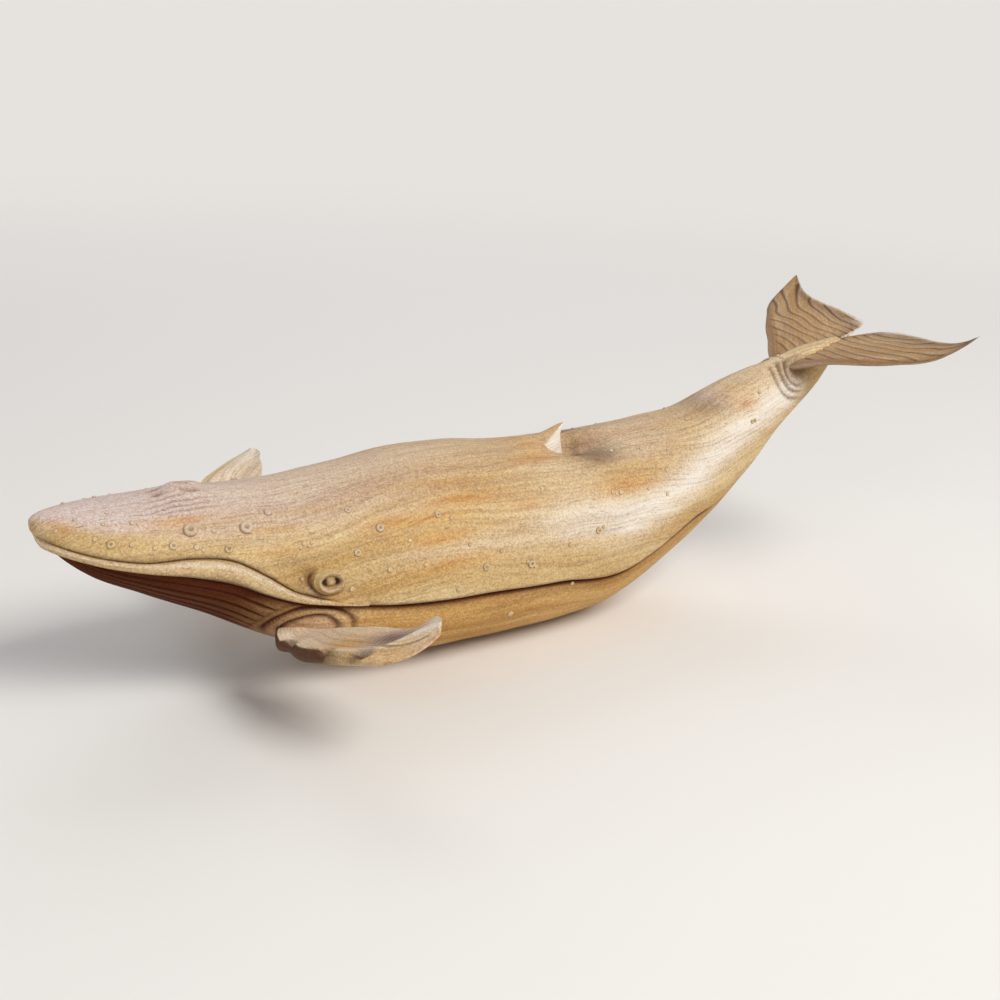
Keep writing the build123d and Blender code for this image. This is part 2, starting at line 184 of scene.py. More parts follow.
# Rings along each piece and points across it
back_mesh_size = (480, 96)
lip_mesh_size = (260, 30)
belly_mesh_size = (350, 140)
flipper_mesh_size = (160, 60)
fluke_mesh_size = (200, 150)
fin_mesh_size = (60, 40)

# Folds round the roots of the blades: how far out each is, and its width
fluke_fold_radii = (4.8, 7.0, 9.6)
flipper_fold_radii = (4.7, 7.4)
faint_fold_radii = (2.6, 9.4)
fold_width = 0.62
faint_fold_width = 0.5

# Where the shells start and end along the body, and how much narrower their hidden inner edges are
snout_front = 0.6
lip_start = 1.2
belly_start = 3.6
belly_end_share = 0.955
back_inner_share = 0.82
lip_inner_share = 0.75
belly_inner_share = 0.80

# How the edges of the shells roll over, and where the pleats bend and end
edge_radius = 0.8
seam_radius_gain = 1.1
lip_roll = 2.3
pleat_bend_share = 0.10
pleat_end = 60.0
pleat_end_lag = 36.0
pleat_end_fade = 12.0
pleats_begin = (3, 14)
throat_fades = (44, 86)
mouth_corner_fade = (7, 12)
lip_end_fade = (7, 14)
edge_crowding = 0.6

# Stains, painted shade, painted cool light and a painted highlight on the skin: x and z of the middle,
# half length, half height and strength
amber_patches = [
    (103.0, 50.8, 16.0, 1.8, 1.0), (116.0, 54.2, 15.0, 2.8, 0.62), (107.0, 45.8, 13.0, 1.9, 0.85),
    (112.0, 38.2, 14.0, 2.4, 0.72), (35.0, 55.8, 9.0, 1.0, 0.8), (7.0, 57.0, 2.5, 1.4, 0.6),
    (177.0, 50.2, 12.0, 2.8, 0.66), (138.0, 50.0, 9.0, 1.6, 0.5), (150.0, 59.8, 11.0, 1.6, 0.6),
    (120.0, 58.0, 20.0, 1.2, 0.35), (62.0, 47.0, 10.0, 1.6, 0.45),
    (231.0, 67.5, 6.5, 3.0, 0.55), (90.0, 49.0, 8.0, 1.4, 0.35), (60.0, 52.0, 8.0, 1.0, 0.3),
    (84.0, 24.0, 12.0, 1.6, 0.5), (112.0, 22.0, 10.0, 1.2, 0.4),
]
# Painted shade behind the fin, on the tail stock, at the fluke's root and round the eye
painted_shade_patches = [
    (171.0, 58.4, 8.5, 2.6, 0.68), (168.0, 60.0, 2.6, 0.9, 0.80), (169.5, 57.2, 2.4, 0.8, 0.75),
    (218.0, 66.5, 8.0, 2.8, 0.34), (254.0, 74.5, 4.5, 3.0, 0.45),
    (67.5, 37.6, 3.2, 3.0, 0.35), (66.0, 43.0, 7.0, 4.0, 0.16), (196.0, 60.0, 10.0, 1.6, 0.10),
]
# Painted cool light on the top of the snout and of the tail stock, and in the hollow behind the fin
painted_cool_light_patches = [
    (172.0, 58.6, 10.0, 3.0, 0.20), (20.0, 58.5, 26.0, 2.4, 0.5), (222.0, 68.5, 14.0, 3.0, 0.4),
]
# The painted highlight on the rear flank: x and the height of its middle, then its half height, where it
# grows and fades, and the height of a fainter one
painted_sheen_line = [
    (120.0, 47.5), (140.0, 45.5), (160.0, 43.0), (180.0, 41.5), (198.0, 45.5), (217.0, 54.0), (237.0, 64.0),
    (252.0, 70.0),
]
painted_sheen_half_height = 6.5
painted_sheen_grows = (118, 178)
painted_sheen_fades = (264, 250)
faint_painted_sheen_height = 42.0

# Barnacles and bumps: the share along the body, the turn share round it from straight up, and the width
rostrum_places = [
    (0.064, 0.385, 2.4), (0.119, 0.365, 2.4), (0.170, 0.360, 2.4), (0.138, 0.285, 4.0), (0.192, 0.262, 3.8),
]
flank_places = [
    (0.297, 0.207, 2.0), (0.324, 0.279, 2.6), (0.296, 0.350, 2.2), (0.388, 0.268, 1.9),
    (0.436, 0.450, 2.4), (0.492, 0.460, 2.7), (0.583, 0.392, 2.2),
]
bump_places = [
    (0.038, 0.208, 1.1), (0.068, 0.155, 1.2), (0.061, 0.252, 1.2), (0.087, 0.246, 1.4), (0.092, 0.252, 1.1),
    (0.051, 0.364, 1.3), (0.082, 0.376, 1.4), (0.102, 0.382, 1.4), (0.140, 0.365, 1.6), (0.146, 0.376, 1.2),
    (0.121, 0.160, 1.1), (0.020, 0.353, 1.3), (0.218, 0.190, 2.2), (0.189, 0.276, 1.2), (0.195, 0.280, 1.1),
    (0.327, 0.411, 1.7), (0.244, 0.318, 1.3), (0.249, 0.326, 1.2), (0.240, 0.334, 1.1), (0.252, 0.315, 1.0),
    (0.238, 0.446, 1.4), (0.286, 0.467, 1.6), (0.403, 0.505, 1.7), (0.402, 0.283, 1.3), (0.387, 0.262, 1.2),
    (0.479, 0.661, 2.3), (0.544, 0.419, 1.4), (0.455, 0.407, 1.4), (0.418, 0.370, 1.3), (0.609, 0.275, 1.2),
    (0.614, 0.283, 1.2), (0.620, 0.281, 1.6), (0.519, 0.222, 1.2), (0.525, 0.228, 1.1), (0.442, 0.210, 1.2),
    (0.583, 0.203, 1.2), (0.631, 0.122, 1.3), (0.703, 0.185, 1.2), (0.687, 0.351, 1.4), (0.692, 0.260, 1.3),
    (0.554, 0.576, 1.4), (0.749, 0.079, 1.3), (0.668, 0.149, 1.2), (0.831, 0.284, 1.4), (0.836, 0.292, 1.2),
    (0.849, 0.159, 1.4), (0.901, 0.020, 1.3), (0.352, 0.330, 1.2), (0.366, 0.410, 1.2), (0.497, 0.470, 1.3),
    (0.487, 0.452, 1.2), (0.590, 0.384, 1.2), (0.160, 0.285, 1.2), (0.660, 0.300, 1.2), (0.735, 0.220, 1.2),
]

# How proud a barnacle stands, and its crater's depth and width, as shares of its radius
rostrum_crater = (0.75, 0.70, 0.60)
flank_crater = (0.70, 0.65, 0.60)
bump_crater = (0.80, 0.20, 0.50)
plug_corners = 14
plug_rings = 9
plug_joint_from = 0.84
plug_joint_shade = 0.55

# The eye: its place, as for a barnacle, the lid round it and the bead in it
eye_place = (0.2652, 0.445)
lid_half_width = 4.3
lid_half_height = 3.5
lid_proud = 1.9
lid_crest_share = 0.77
lid_sunk = 0.40
lid_lean = 0.12
lid_rings = 30
eye_corners = 72
bead_share = 0.35
pit_from_middle = 1.9
pit_half_size = (0.825, 0.75)
# Knobs on the lid's rim: the place along and up from the bead's middle, and the radius
lid_knobs = [(3.2, -2.0, 0.80), (1.9, -2.7, 0.65), (-2.6, -2.3, 0.65), (2.5, 2.1, 0.60)]
# The bead's rings from its middle to its stem: the share of its rim, and how far out of the skin
bead_rings = [
    (0.05, 1.15), (0.30, 1.10), (0.55, 0.95), (0.75, 0.68), (0.90, 0.32), (1.00, -0.20), (1.00, -1.20),
    (0.50, -1.30),
]


# Shapes
def curve(table, at):
    """Values through a table of rows whose first column is the place, eased by a cubic between each two."""
    table = np.asarray(table, float)
    place, values = table[:, 0], table[:, 1:]
    slope = np.gradient(values, place, axis=0)
    at = np.atleast_1d(np.asarray(at, float))
    low = np.clip(np.searchsorted(place, at) - 1, 0, len(place) - 2)
    width = (place[low + 1] - place[low])[:, None]
    share = np.clip((at - place[low])[:, None] / width, 0, 1)
    rest = 1 - share
    return (values[low] * (1 + 2 * share) * rest ** 2 + values[low + 1] * (3 - 2 * share) * share ** 2
            + (slope[low] * rest - slope[low + 1] * share) * width * share * rest)


def level(shares, x):
    return curve(shares, x / body_length)[:, 0] * body_height


def section(x):
    """Top, middle and bottom heights and the half width of the body at each x."""
    root = [(np.sqrt(row[0]), *row[1:]) for row in body_shares]
    top, bottom, width, widest = curve(root, np.sqrt(x / body_length)).T
    end = body_shares[-1][0] * body_length
    blunt = np.sqrt(np.clip(1 - ((x - end) / tail_round) ** 2, 0.0004, 1)) * (x > end) + (x <= end)
    middle = bottom + widest * (top - bottom)
    return ((middle + (top - middle) * blunt) * body_height, middle * body_height,
            (middle + (bottom - middle) * blunt) * body_height, width * body_width / 2 * blunt)


def body_point(x, turn):
    """Points on the left side of the plain body, from x and the turn round it from straight up."""
    top, middle, bottom, half = [value[:, None] for value in section(x)]
    fullness = np.where(turn < pi / 2, upper_fullness, lower_fullness)
    reach = np.abs(np.cos(turn)) ** fullness
    y = -half * np.abs(np.sin(turn)) ** fullness
    z = middle + (np.where(turn < pi / 2, top, bottom) - middle) * reach
    return np.stack([np.broadcast_to(x[:, None], y.shape), y, z], -1)


def turn_at(x, z):
    """The turn at which the body's side reaches each height."""
    top, middle, bottom, _ = section(x)
    above = np.clip((z - middle) / (top - middle), 0, 1) ** (1 / upper_fullness)
    below = np.clip((middle - z) / (middle - bottom), 0, 1) ** (1 / lower_fullness)
    return np.where(z > middle, np.arccos(above), pi - np.arccos(below))


def bump(distance, radius):
    """A soft bell that is 1 at the middle and falls away over the radius."""
    return np.exp(-(distance / radius) ** 2)


def step(value, low, high):
    share = np.clip((value - low) / (high - low), 0, 1)
    return share * share * (3 - 2 * share)


def rounded(distance, radius):
    """How far an edge of that radius has dropped, at a distance from it."""
    near = 1 - np.clip(distance / radius, 0, 1)
    return radius * (1 - np.sqrt(np.clip(1 - near ** 2, 0, 1)))


def uneven(points, size, seed, height):
    """Slow, seeded unevenness up to that height either way, as a knife leaves it."""
    offset = Vector((seed, seed * 2, seed * 3))
    flat = points.reshape(-1, 3) / size
    values = [noise.noise(Vector(point) + offset) for point in flat]
    return height * np.array(values).reshape(points.shape[:-1])


def bell(along, across, middle_along, middle_across, half_long, half_wide):
    """A soft bell over an oval, 1 at its middle."""
    return bump(np.hypot((along - middle_along) / half_long, (across - middle_across) / half_wide), 1)


def patches(x, z, table):
    total = np.zeros_like(x)
    for *oval, strength in table:
        total = np.maximum(total, strength * bell(x, z, *oval))
    return total


def creases(around, radii, width):
    """Rings of knife cuts, at several distances from a middle."""
    return sum(bump(around - radius, width) for radius in radii)


def arc_rows(x, start, end, shares):
    """Points across the left side between two turns, at shares of the way in true length."""
    rows, lengths = [], []
    fine = np.linspace(0, 1, 160)
    for place, low, high in zip(x, start, end):
        turn = (low + (high - low) * fine)[None, :]
        arc = body_point(np.array([place]), turn)[0]
        run = np.concatenate([[0], np.cumsum(np.linalg.norm(np.diff(arc, axis=0), axis=1))])
        wanted = shares * run[-1]
        rows.append(np.stack([np.interp(wanted, run, arc[:, axis]) for axis in range(3)], -1))
        lengths.append(wanted)
    return np.array(rows), np.array(lengths)


def normals(points):
    along = np.gradient(points, axis=0)
    across = np.gradient(points, axis=1)
    normal = np.cross(across, along)
    return normal / np.maximum(np.linalg.norm(normal, axis=-1, keepdims=True), 1e-9)


def ring_places(start, end, count, nose_share):
    """Places along the body, closer together towards the snout."""
    share = np.linspace(0, 1, count)
    return start + (end - start) * (share * (1 - nose_share) + share ** 2 * nose_share)


class Shell:
    """A surface of rings, with values for its grain map and its colour masks, ready to be made a mesh."""

    def __init__(self, points, grain, **masks):
        self.points = points
        self.grain = grain
        self.masks = masks

    def joined(self, join):
        """The whole shell from its left half, by the function that joins a ring to its mirror image."""
        masks = {key: join(value[..., None], np.array([1]))[..., 0] for key, value in self.masks.items()}
        return Shell(join(self.points, MIRRORED), join(self.grain, np.array([1, -1])), **masks)


def make_mesh(name, shell, looped=False):
    """One closed mesh from rings of points, capped at both ends unless the last ring meets the first."""
    rings, corners = shell.points.shape[:2]
    row_points = shell.points.reshape(-1, 3) - np.array([rest_from_nose, 0, 0])
    index = np.arange(rings * corners).reshape(rings, corners)
    near, far = (index, np.roll(index, -1, 0)) if looped else (index[:-1], index[1:])
    faces = np.stack([near, np.roll(near, -1, 1), np.roll(far, -1, 1), far], -1).reshape(-1, 4).tolist()
    verts = row_points.tolist()
    grain = shell.grain.reshape(-1, 2)
    masks = {key: value.reshape(-1) for key, value in shell.masks.items()}
    if not looped:
        for ring in (index[0], index[-1]):
            verts.append(row_points[ring].mean(0).tolist())
            grain = np.vstack([grain, grain[ring].mean(0)])
            masks = {key: np.append(value, value[ring].mean()) for key, value in masks.items()}
            faces += [[int(ring[k]), int(ring[(k + 1) % corners]), len(verts) - 1] for k in range(corners)]
    mesh = bpy.data.meshes.new(name)
    mesh.from_pydata([[value * MM for value in point] for point in verts], [], faces)
    grain_map = mesh.uv_layers.new(name="grain")
    corner_verts = np.zeros(len(mesh.loops), np.int32)
    mesh.loops.foreach_get("vertex_index", corner_verts)
    grain_map.data.foreach_set("uv", (grain[corner_verts] * MM).astype(np.float32).ravel())
    for key, value in masks.items():
        mesh.attributes.new(key, "FLOAT", "POINT").data.foreach_set("value", value.astype(np.float32))
    edit = bmesh.new()
    edit.from_mesh(mesh)
    bmesh.ops.recalc_face_normals(edit, faces=edit.faces)
    edit.to_mesh(mesh)
    edit.free()
    mesh.polygons.foreach_set("use_smooth", np.ones(len(mesh.polygons), bool))
    return mesh


def add_object(name, data):
    added = bpy.data.objects.new(name, data)
    bpy.context.scene.collection.objects.link(added)
    return added


def add_piece(name, mesh, material, slot, *nodes):
    piece = add_object(name, mesh)
    mesh.materials.clear()
    mesh.materials.append(material)
    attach(piece, "root")
    if nodes:
        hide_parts(*nodes)


def add_shell(name, shell, material, slot, replaced, looped=False):
    mesh = make_mesh(name, shell, looped)
    add_piece(name, mesh, material, slot, replaced)
    return mesh


# Materials
def linear(hex_colour):
    """An sRGB hex colour as linear values."""
    channels = [int(hex_colour[k:k + 2], 16) / 255 for k in (1, 3, 5)]
    return tuple(c / 12.92 if c <= 0.04045 else ((c + 0.055) / 1.055) ** 2.4 for c in channels) + (1.0,)


def node(tree, kind, settings=None, **links):
    """Adds a node with its settings. Each link names an input, or counts it as i0, i1 and so on, and gives a
    value, another node or an output."""
    new = tree.nodes.new(kind)
    for key, value in (settings or {}).items():
        setattr(new, key, value)
    for key, value in links.items():
        socket = new.inputs[int(key[1:])] if key[1:].isdigit() else new.inputs[key.replace("_", " ")]
        if isinstance(value, bpy.types.Node):
            value = next(output for output in value.outputs if output.enabled)
        if isinstance(value, bpy.types.NodeSocket):
            tree.links.new(value, socket)
        else:
            socket.default_value = value
    return new


def maths(tree, operation, first, second, **settings):
    return node(tree, "ShaderNodeMath", {"operation": operation, **settings}, i0=first, i1=second)


def mixed(tree, share, under, over, **settings):
    return node(tree, "ShaderNodeMix", {"data_type": "RGBA", **settings}, i0=share, i6=under, i7=over)


def start_material(name):
    material = bpy.data.materials.new(name)
    material.use_nodes = True
    return material, material.node_tree, material.node_tree.nodes["Principled BSDF"]


# Each pattern of the grain: its length along and across the grain in mm, its detail and its shift, then the
# noise value at which it starts to show, the one at which it is full, and how strong it then is
grain_patterns = {
    "tone": (70.0, 9.0, 3.0, 0.0, 0.30, 0.70, 1.0), "streak": (42.0, 2.8, 4.0, 3.1, 0.45, 0.66, 1.0),
    "line": (45.0, 0.80, 2.0, 7.7, 0.50, 0.34, 0.20), "dash": (5.0, 0.45, 1.0, 11.3, 0.31, 0.25, 0.40),
    "vein": (60.0, 3.4, 4.0, 17.9, 0.53, 0.60, 1.0),
}
drift_length = 60
drift_width = 40
drift_across = 12
sand_grain = 0.42
sand_contrast = 0.13
grit_height = 0.35
pore_depth = 0.16
pore_strength = 0.7
fibre_roughness = 0.55
stain_falloff = 1.7
stain_everywhere = 0.05
glow_full = 0.7
glow_share = 0.45
# The colour of the painted highlights
painted_sheen_colour = "#F2EBE1"
glow_colour = "#D39B48"
dry_roughness = 0.68
oiled_roughness = 0.42
wood_ior = 1.45
peg_line_size = (0.8, 0.8, 9.0)
peg_dark = "#CDB080"
peg_pale = "#E6D2A8"
peg_roughness = 0.6


def carved_wood(name, pale, deep, vein="#8F6236", amber="#B46A28", shade="#57301A", painted_cool_light="#DCCBC9",
                sand_share=1.0, polish=0.3, veins_share=0.2):
    """Jelutong, cut with a knife, sanded and oiled. The eye sees soft grain lines that flow along the piece,
    short open pores, a sandy speckle where the fibres end, a warm tone that drifts, and a satin lustre.
    Over the wood it lays painted cool light, painted highlights and painted shade, where the masks put them."""
    material, tree, shader = start_material(name)
    grain = node(tree, "ShaderNodeUVMap", {"uv_map": "grain"})
    place = node(tree, "ShaderNodeTexCoord").outputs["Object"]
    # The masks: amber stains, painted cool light, painted shade and painted highlights
    masks = {key: node(tree, "ShaderNodeAttribute", {"attribute_name": key}).outputs["Fac"]
             for key in ("amber", "painted_cool_light", "shade", "painted_sheen")}

    # The grain wanders a few millimetres across as it runs along
    slow = node(tree, "ShaderNodeMapping", Vector=grain,
                Scale=(PER_METRE / drift_length, PER_METRE / drift_width, 1))
    drift = node(tree, "ShaderNodeTexNoise", {"noise_dimensions": "2D"}, Vector=slow, Scale=1.0, Detail=2.0)
    sideways = maths(tree, "MULTIPLY", maths(tree, "SUBTRACT", drift, 0.5), drift_across * MM)
    wander = node(tree, "ShaderNodeCombineXYZ", Y=sideways)
    flow = node(tree, "ShaderNodeVectorMath", {"operation": "ADD"}, i0=grain, i1=wander)

    # How much of each colour there is
    shown = {}
    for key, (along, across, detail, shift, start, full, strength) in grain_patterns.items():
        placed = node(tree, "ShaderNodeMapping", Vector=flow, Location=(shift, shift * 0.7, 0),
                      Scale=(PER_METRE / along, PER_METRE / across, 1))
        pattern = node(tree, "ShaderNodeTexNoise", {"noise_dimensions": "2D"}, Vector=placed, Scale=1.0,
                       Detail=detail, Roughness=fibre_roughness)
        shown[key] = node(tree, "ShaderNodeMapRange", Value=pattern, From_Min=start, From_Max=full,
                          To_Max=strength)
    shown["vein"].inputs["To Max"].default_value = veins_share
    grains = node(tree, "ShaderNodeTexVoronoi", Vector=place, Scale=PER_METRE / sand_grain).outputs["Color"]
    sand = node(tree, "ShaderNodeSeparateColor", Color=grains)
    core = maths(tree, "POWER", masks["amber"], stain_falloff)
    base = maths(tree, "ADD", core, stain_everywhere)
    stained = maths(tree, "MULTIPLY", shown["streak"], base, use_clamp=True)
    glow = node(tree, "ShaderNodeMapRange", Value=masks["amber"], From_Max=glow_full, To_Max=glow_share)

    # The colours, each laid over those before it
    # The mauve layer is painted cool light, the near-white one a painted highlight, the last one painted
    # shade
    layers = (
        (shown["tone"], pale), (shown["vein"], vein), (masks["painted_cool_light"], painted_cool_light),
        (masks["painted_sheen"], painted_sheen_colour), (glow, glow_colour), (stained, amber), (shown["line"], vein),
        (shown["dash"], vein), (masks["shade"], shade),
    )
    colour = linear(deep)
    for share, layer in layers:
        colour = mixed(tree, share, colour, linear(layer))
    dots = node(tree, "ShaderNodeMapRange", Value=sand, To_Min=0.5 - sand_contrast * sand_share,
                To_Max=0.5 + sand_contrast * sand_share)
    speckled = mixed(tree, 1.0, colour, dots, blend_type="OVERLAY")
    tree.links.new(speckled.outputs[2], shader.inputs["Base Color"])

    # Finish
    rough = node(tree, "ShaderNodeMapRange", Value=sand, To_Min=oiled_roughness, To_Max=dry_roughness)
    tree.links.new(rough.outputs[0], shader.inputs["Roughness"])
    shader.inputs["IOR"].default_value = wood_ior
    shader.inputs["Specular IOR Level"].default_value = polish
    cuts = maths(tree, "ADD", shown["line"], shown["dash"])
    height = maths(tree, "SUBTRACT", maths(tree, "MULTIPLY", sand, grit_height * sand_share), cuts)
    relief = node(tree, "ShaderNodeBump", Height=height, Strength=pore_strength, Distance=pore_depth * MM)
    tree.links.new(relief.outputs[0], shader.inputs["Normal"])
    return material


def whittled_birch():
    """Birch pegs as the knife leaves them: pale and even, with faint lines along the grain."""
    material, tree, shader = start_material("birch_whittled_peg")
    place = node(tree, "ShaderNodeTexCoord").outputs["Object"]
    scales = [PER_METRE / size for size in peg_line_size]
    drawn_out = node(tree, "ShaderNodeMapping", Vector=place, Scale=scales)
    lines = node(tree, "ShaderNodeTexNoise", Vector=drawn_out, Scale=1.0, Detail=3.0)
    colour = mixed(tree, lines, linear(peg_dark), linear(peg_pale))
    tree.links.new(colour.outputs[2], shader.inputs["Base Color"])
    shader.inputs["Roughness"].default_value = peg_roughness
    return material


back_wood = carved_wood("jelutong_knife_carved_back", "#DAC090", "#C29D62")
belly_wood = carved_wood("jelutong_knife_carved_belly", "#DDB679", "#C59656", shade="#4A1602", polish=0.1)
lip_wood = carved_wood("jelutong_knife_carved_lip", "#DAC090", "#C29D62", shade="#4F2A14")
flipper_wood = carved_wood("jelutong_knife_carved_flipper", "#F4E4C0", "#E9CE9C", shade="#4A1E08",
                           sand_share=0.9, veins_share=0.3)
fluke_wood = carved_wood("jelutong_knife_carved_fluke", "#C4A577", "#A38050", vein="#5E3C22",
                         painted_cool_light="#C3A690", shade="#4E2C1A", sand_share=0.8, veins_share=0.15)
fin_wood = carved_wood("jelutong_knife_carved_fin", "#E6D6B4", "#CDA870", sand_share=0.7, veins_share=0.35)
eye_wood = carved_wood("jelutong_turned_eye", "#C6A678", "#A98558", shade="#3A1C0C", sand_share=0.4)
lid_wood = carved_wood("jelutong_carved_eyelid", "#D6BA86", "#BE9A60", shade="#3A1C0C", sand_share=0.45)
plug_wood = carved_wood("jelutong_turned_plug", "#E3CEA6", "#D3B686", shade="#5A3218", sand_share=0.5)
peg_wood = whittled_birch()


# Body pieces
def sunk(mirror, share):
    """Draws points in towards the middle plane, and leaves the grain and the masks as they are."""
    return np.array([1, share, 1]) if mirror is MIRRORED else 1


def back_ring(left, mirror):
    inner = left[:, -1:] * sunk(mirror, back_inner_share)
    return np.concatenate([left, inner, inner * mirror, (left * mirror)[:, ::-1]], axis=1)


def lip_ring(left, mirror):
    low = left[:, -1:] * sunk(mirror, lip_inner_share)
    high = left[:, :1] * sunk(mirror, lip_inner_share)
    return np.concatenate([left, low, low * mirror, (left * mirror)[:, ::-1], high * mirror, high], axis=1)


def belly_ring(left, mirror):
    inner = left[:, :1] * sunk(mirror, belly_inner_share)
    return np.concatenate([inner, left, (left * mirror)[:, -2::-1], inner * mirror], axis=1)


def skin_masks(points, normal, shade):
    """Where the skin has painted cool light, amber stains, a painted highlight, or painted shade."""
    x, _, z = np.moveaxis(points, -1, 0)
    waver = uneven(points * np.array([0.12, 1, 1]), *skin_waver)

    # Painted cool light tints what faces up, most on the head, and least over the middle and at the tail
    faces_up = step(np.clip(normal[..., 2], 0, 1) + 0.14 * waver, 0.52, 0.96)
    cool_light_share = (0.34 + 0.48 * bump(x - 12, 50)) * (1 - 0.5 * bump(x - 140, 35)) * (1 - 0.55 * step(x, 180, 215))
    painted_cool_light = np.maximum(faces_up * cool_light_share, patches(x, z, painted_cool_light_patches))

    # A painted highlight runs as a pale band along the rear flank, with a fainter one before it
    band_z = curve(painted_sheen_line, np.clip(x[:, 0], painted_sheen_line[0][0], painted_sheen_line[-1][0]))
    band = bump(z - band_z + 1.5 * waver, painted_sheen_half_height) * (0.75 + 0.25 * waver)
    band = band * step(x, *painted_sheen_grows) * step(x, *painted_sheen_fades)
    faint = 0.22 * bump(z - faint_painted_sheen_height + 2.5 * waver, 4.0) * step(x, 78, 110) * step(x, 190, 150)
    return dict(painted_cool_light=np.clip(painted_cool_light, 0, 0.85), amber=patches(x, z + 0.7 * waver, amber_patches),
                painted_sheen=np.clip(1.1 * np.maximum(band, faint), 0, 0.95),
                shade=np.clip(np.maximum(shade, patches(x, z, painted_shade_patches)), 0, 0.97))


eye_low, eye_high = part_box("left_eye")
eye_middle = ((eye_low[0] + eye_high[0]) / 2 / MM + rest_from_nose, (eye_low[2] + eye_high[2]) / 2 / MM)


# The forms cut in the back. Each function gives how far they raise the skin,
# and how much shade is painted in them.
def blowhole_cuts(points, run):
    """The guard before the blowhole, its nostrils, the fold before it and the wrinkles beside it."""
    x, y, _ = np.moveaxis(points, -1, 0)
    out = np.abs(y)
    behind = x - nostril_place[0]
    nostril = np.hypot(behind / 2.4, out - nostril_place[1] - behind * 0.15)
    fold = bell(x, out, *front_fold_oval)
    wave = np.sin(run * 1.9 + uneven(points, *wrinkle_waver) + x * 0.12)
    wrinkle = bell(x, run, *wrinkle_oval) * bump(wave, 0.6)
    height = guard_proud * bell(x, y, *guard_oval) - front_fold_depth * fold - wrinkle_depth * wrinkle
    height = height + nostril_rim_proud * bump(nostril - 1.6, 0.7) - nostril_depth * bump(nostril, 0.9)
    shade = nostril_shade * bump(nostril, 1.0) + front_fold_shade * fold + wrinkle_shade * wrinkle
    return height, shade


def eye_cuts(x, z):
    """The hollow before the eye, and the groove round the front and lower side of its lid."""
    behind, above = x - eye_middle[0], z - eye_middle[1]
    around = np.hypot(behind / (lid_half_width + 0.5), above / (lid_half_height + 0.4))
    groove = bump(around - 1.06, 0.13) * step(behind + 1.2 * above, 3.0, -3.0)
    hollow = bell(x, z, *eye_hollow_oval)
    return (-eye_hollow_depth * hollow - lid_groove_depth * groove,
            eye_hollow_shade * hollow + lid_groove_shade * groove)


def fin_cuts(x, y):
    """The saddle and the mound before the fin, and behind it a hollow on each side of a ridge."""
    out = np.abs(y)
    mound = fin_foot_proud * bell(x, y, *fin_foot_oval) * step(x, fin_foot_oval[0] + 8, fin_foot_oval[0] + 3)
    ridge = fin_ridge_proud * bell(x, y, *fin_ridge_oval) * step(x, 160, 166)
    hollow = fin_hollow_depth * bell(x, out, *fin_hollow_oval) * step(out, 0, 5)
    return mound + ridge - hollow - saddle_depth * bell(x, y, *saddle_oval), 0


def fluke_cuts(points):
    """The folds before each fluke, the roll between them, and the pocket for the fluke's leading edge."""
    x, y, z = np.moveaxis(points, -1, 0)
    off_ridge = step(np.abs(y), 1, 3)
    around = np.hypot((x - fluke_root[0]) / 1.1, z - fluke_root[1])
    before_root = step(x, fluke_root[0] + 3, fluke_root[0] - 2) * step(around, 14, 9) * off_ridge
    fold = creases(around + uneven(points, *fluke_fold_waver), fluke_fold_radii, fold_width) * before_root
    pocket = bell(x, z, *fluke_pocket_oval) * off_ridge
    roll = bump(around - 5.9, 0.9) * before_root
    return (fluke_roll_proud * roll - fluke_fold_depth * fold - fluke_pocket_depth * pocket,
            fluke_fold_shade * fold + fluke_pocket_shade * pocket)


def back_shell():
    """The upper body, from the ridge down to the mouth and the seam, with all that is cut in it."""
    tail_end = body_shares[-1][0] * body_length + tail_round
    mouth_end = mouth_shares[-1][0] * body_length
    x = ring_places(snout_front, tail_end, back_mesh_size[0], 0.1)
    edge_turn = turn_at(x, np.where(x < mouth_end, level(mouth_shares, x), level(seam_shares, x)))
    share = np.linspace(0, 1, back_mesh_size[1])
    share = (1 - edge_crowding) * share + edge_crowding * (2 * share - share ** 2)
    points, run = arc_rows(x, np.zeros_like(x), edge_turn, share)
    normal = normals(points)
    X, Y, Z = np.moveaxis(points, -1, 0)
    to_edge = run[:, -1:] - run

    # The edge rolls in to the mouth and to the seam, with painted shade along it,
    # but not at the mouth's corner or under the snout
    parted = step(edge_turn, pi, pi - 0.25)[:, None]
    off_corner = np.where(x < mouth_end + 1, step(mouth_end - x, *mouth_corner_fade), 1)[:, None]
    radius = (edge_radius + seam_radius_gain * step(x, mouth_end, mouth_end + 20))[:, None]
    radius = radius * np.clip(run[:, -1:] / 6, 0.05, 1) * np.maximum(off_corner, 0.1)
    height = -rounded(to_edge, radius) * parted + uneven(points, *back_waver) * step(run, 0, 4)
    shade = edge_shade * bump(to_edge, 1.0) * parted * off_corner
    for raised, dark in (blowhole_cuts(points, run), eye_cuts(X, Z), fin_cuts(X, Y), fluke_cuts(points)):
        height = height + raised
        shade = shade + dark
    masks = skin_masks(points, normal, shade)
    moved = points + normal * height[..., None]
    moved[:, 0, 1] = 0
    return Shell(moved, np.stack([X, -run], -1), **masks).joined(back_ring)


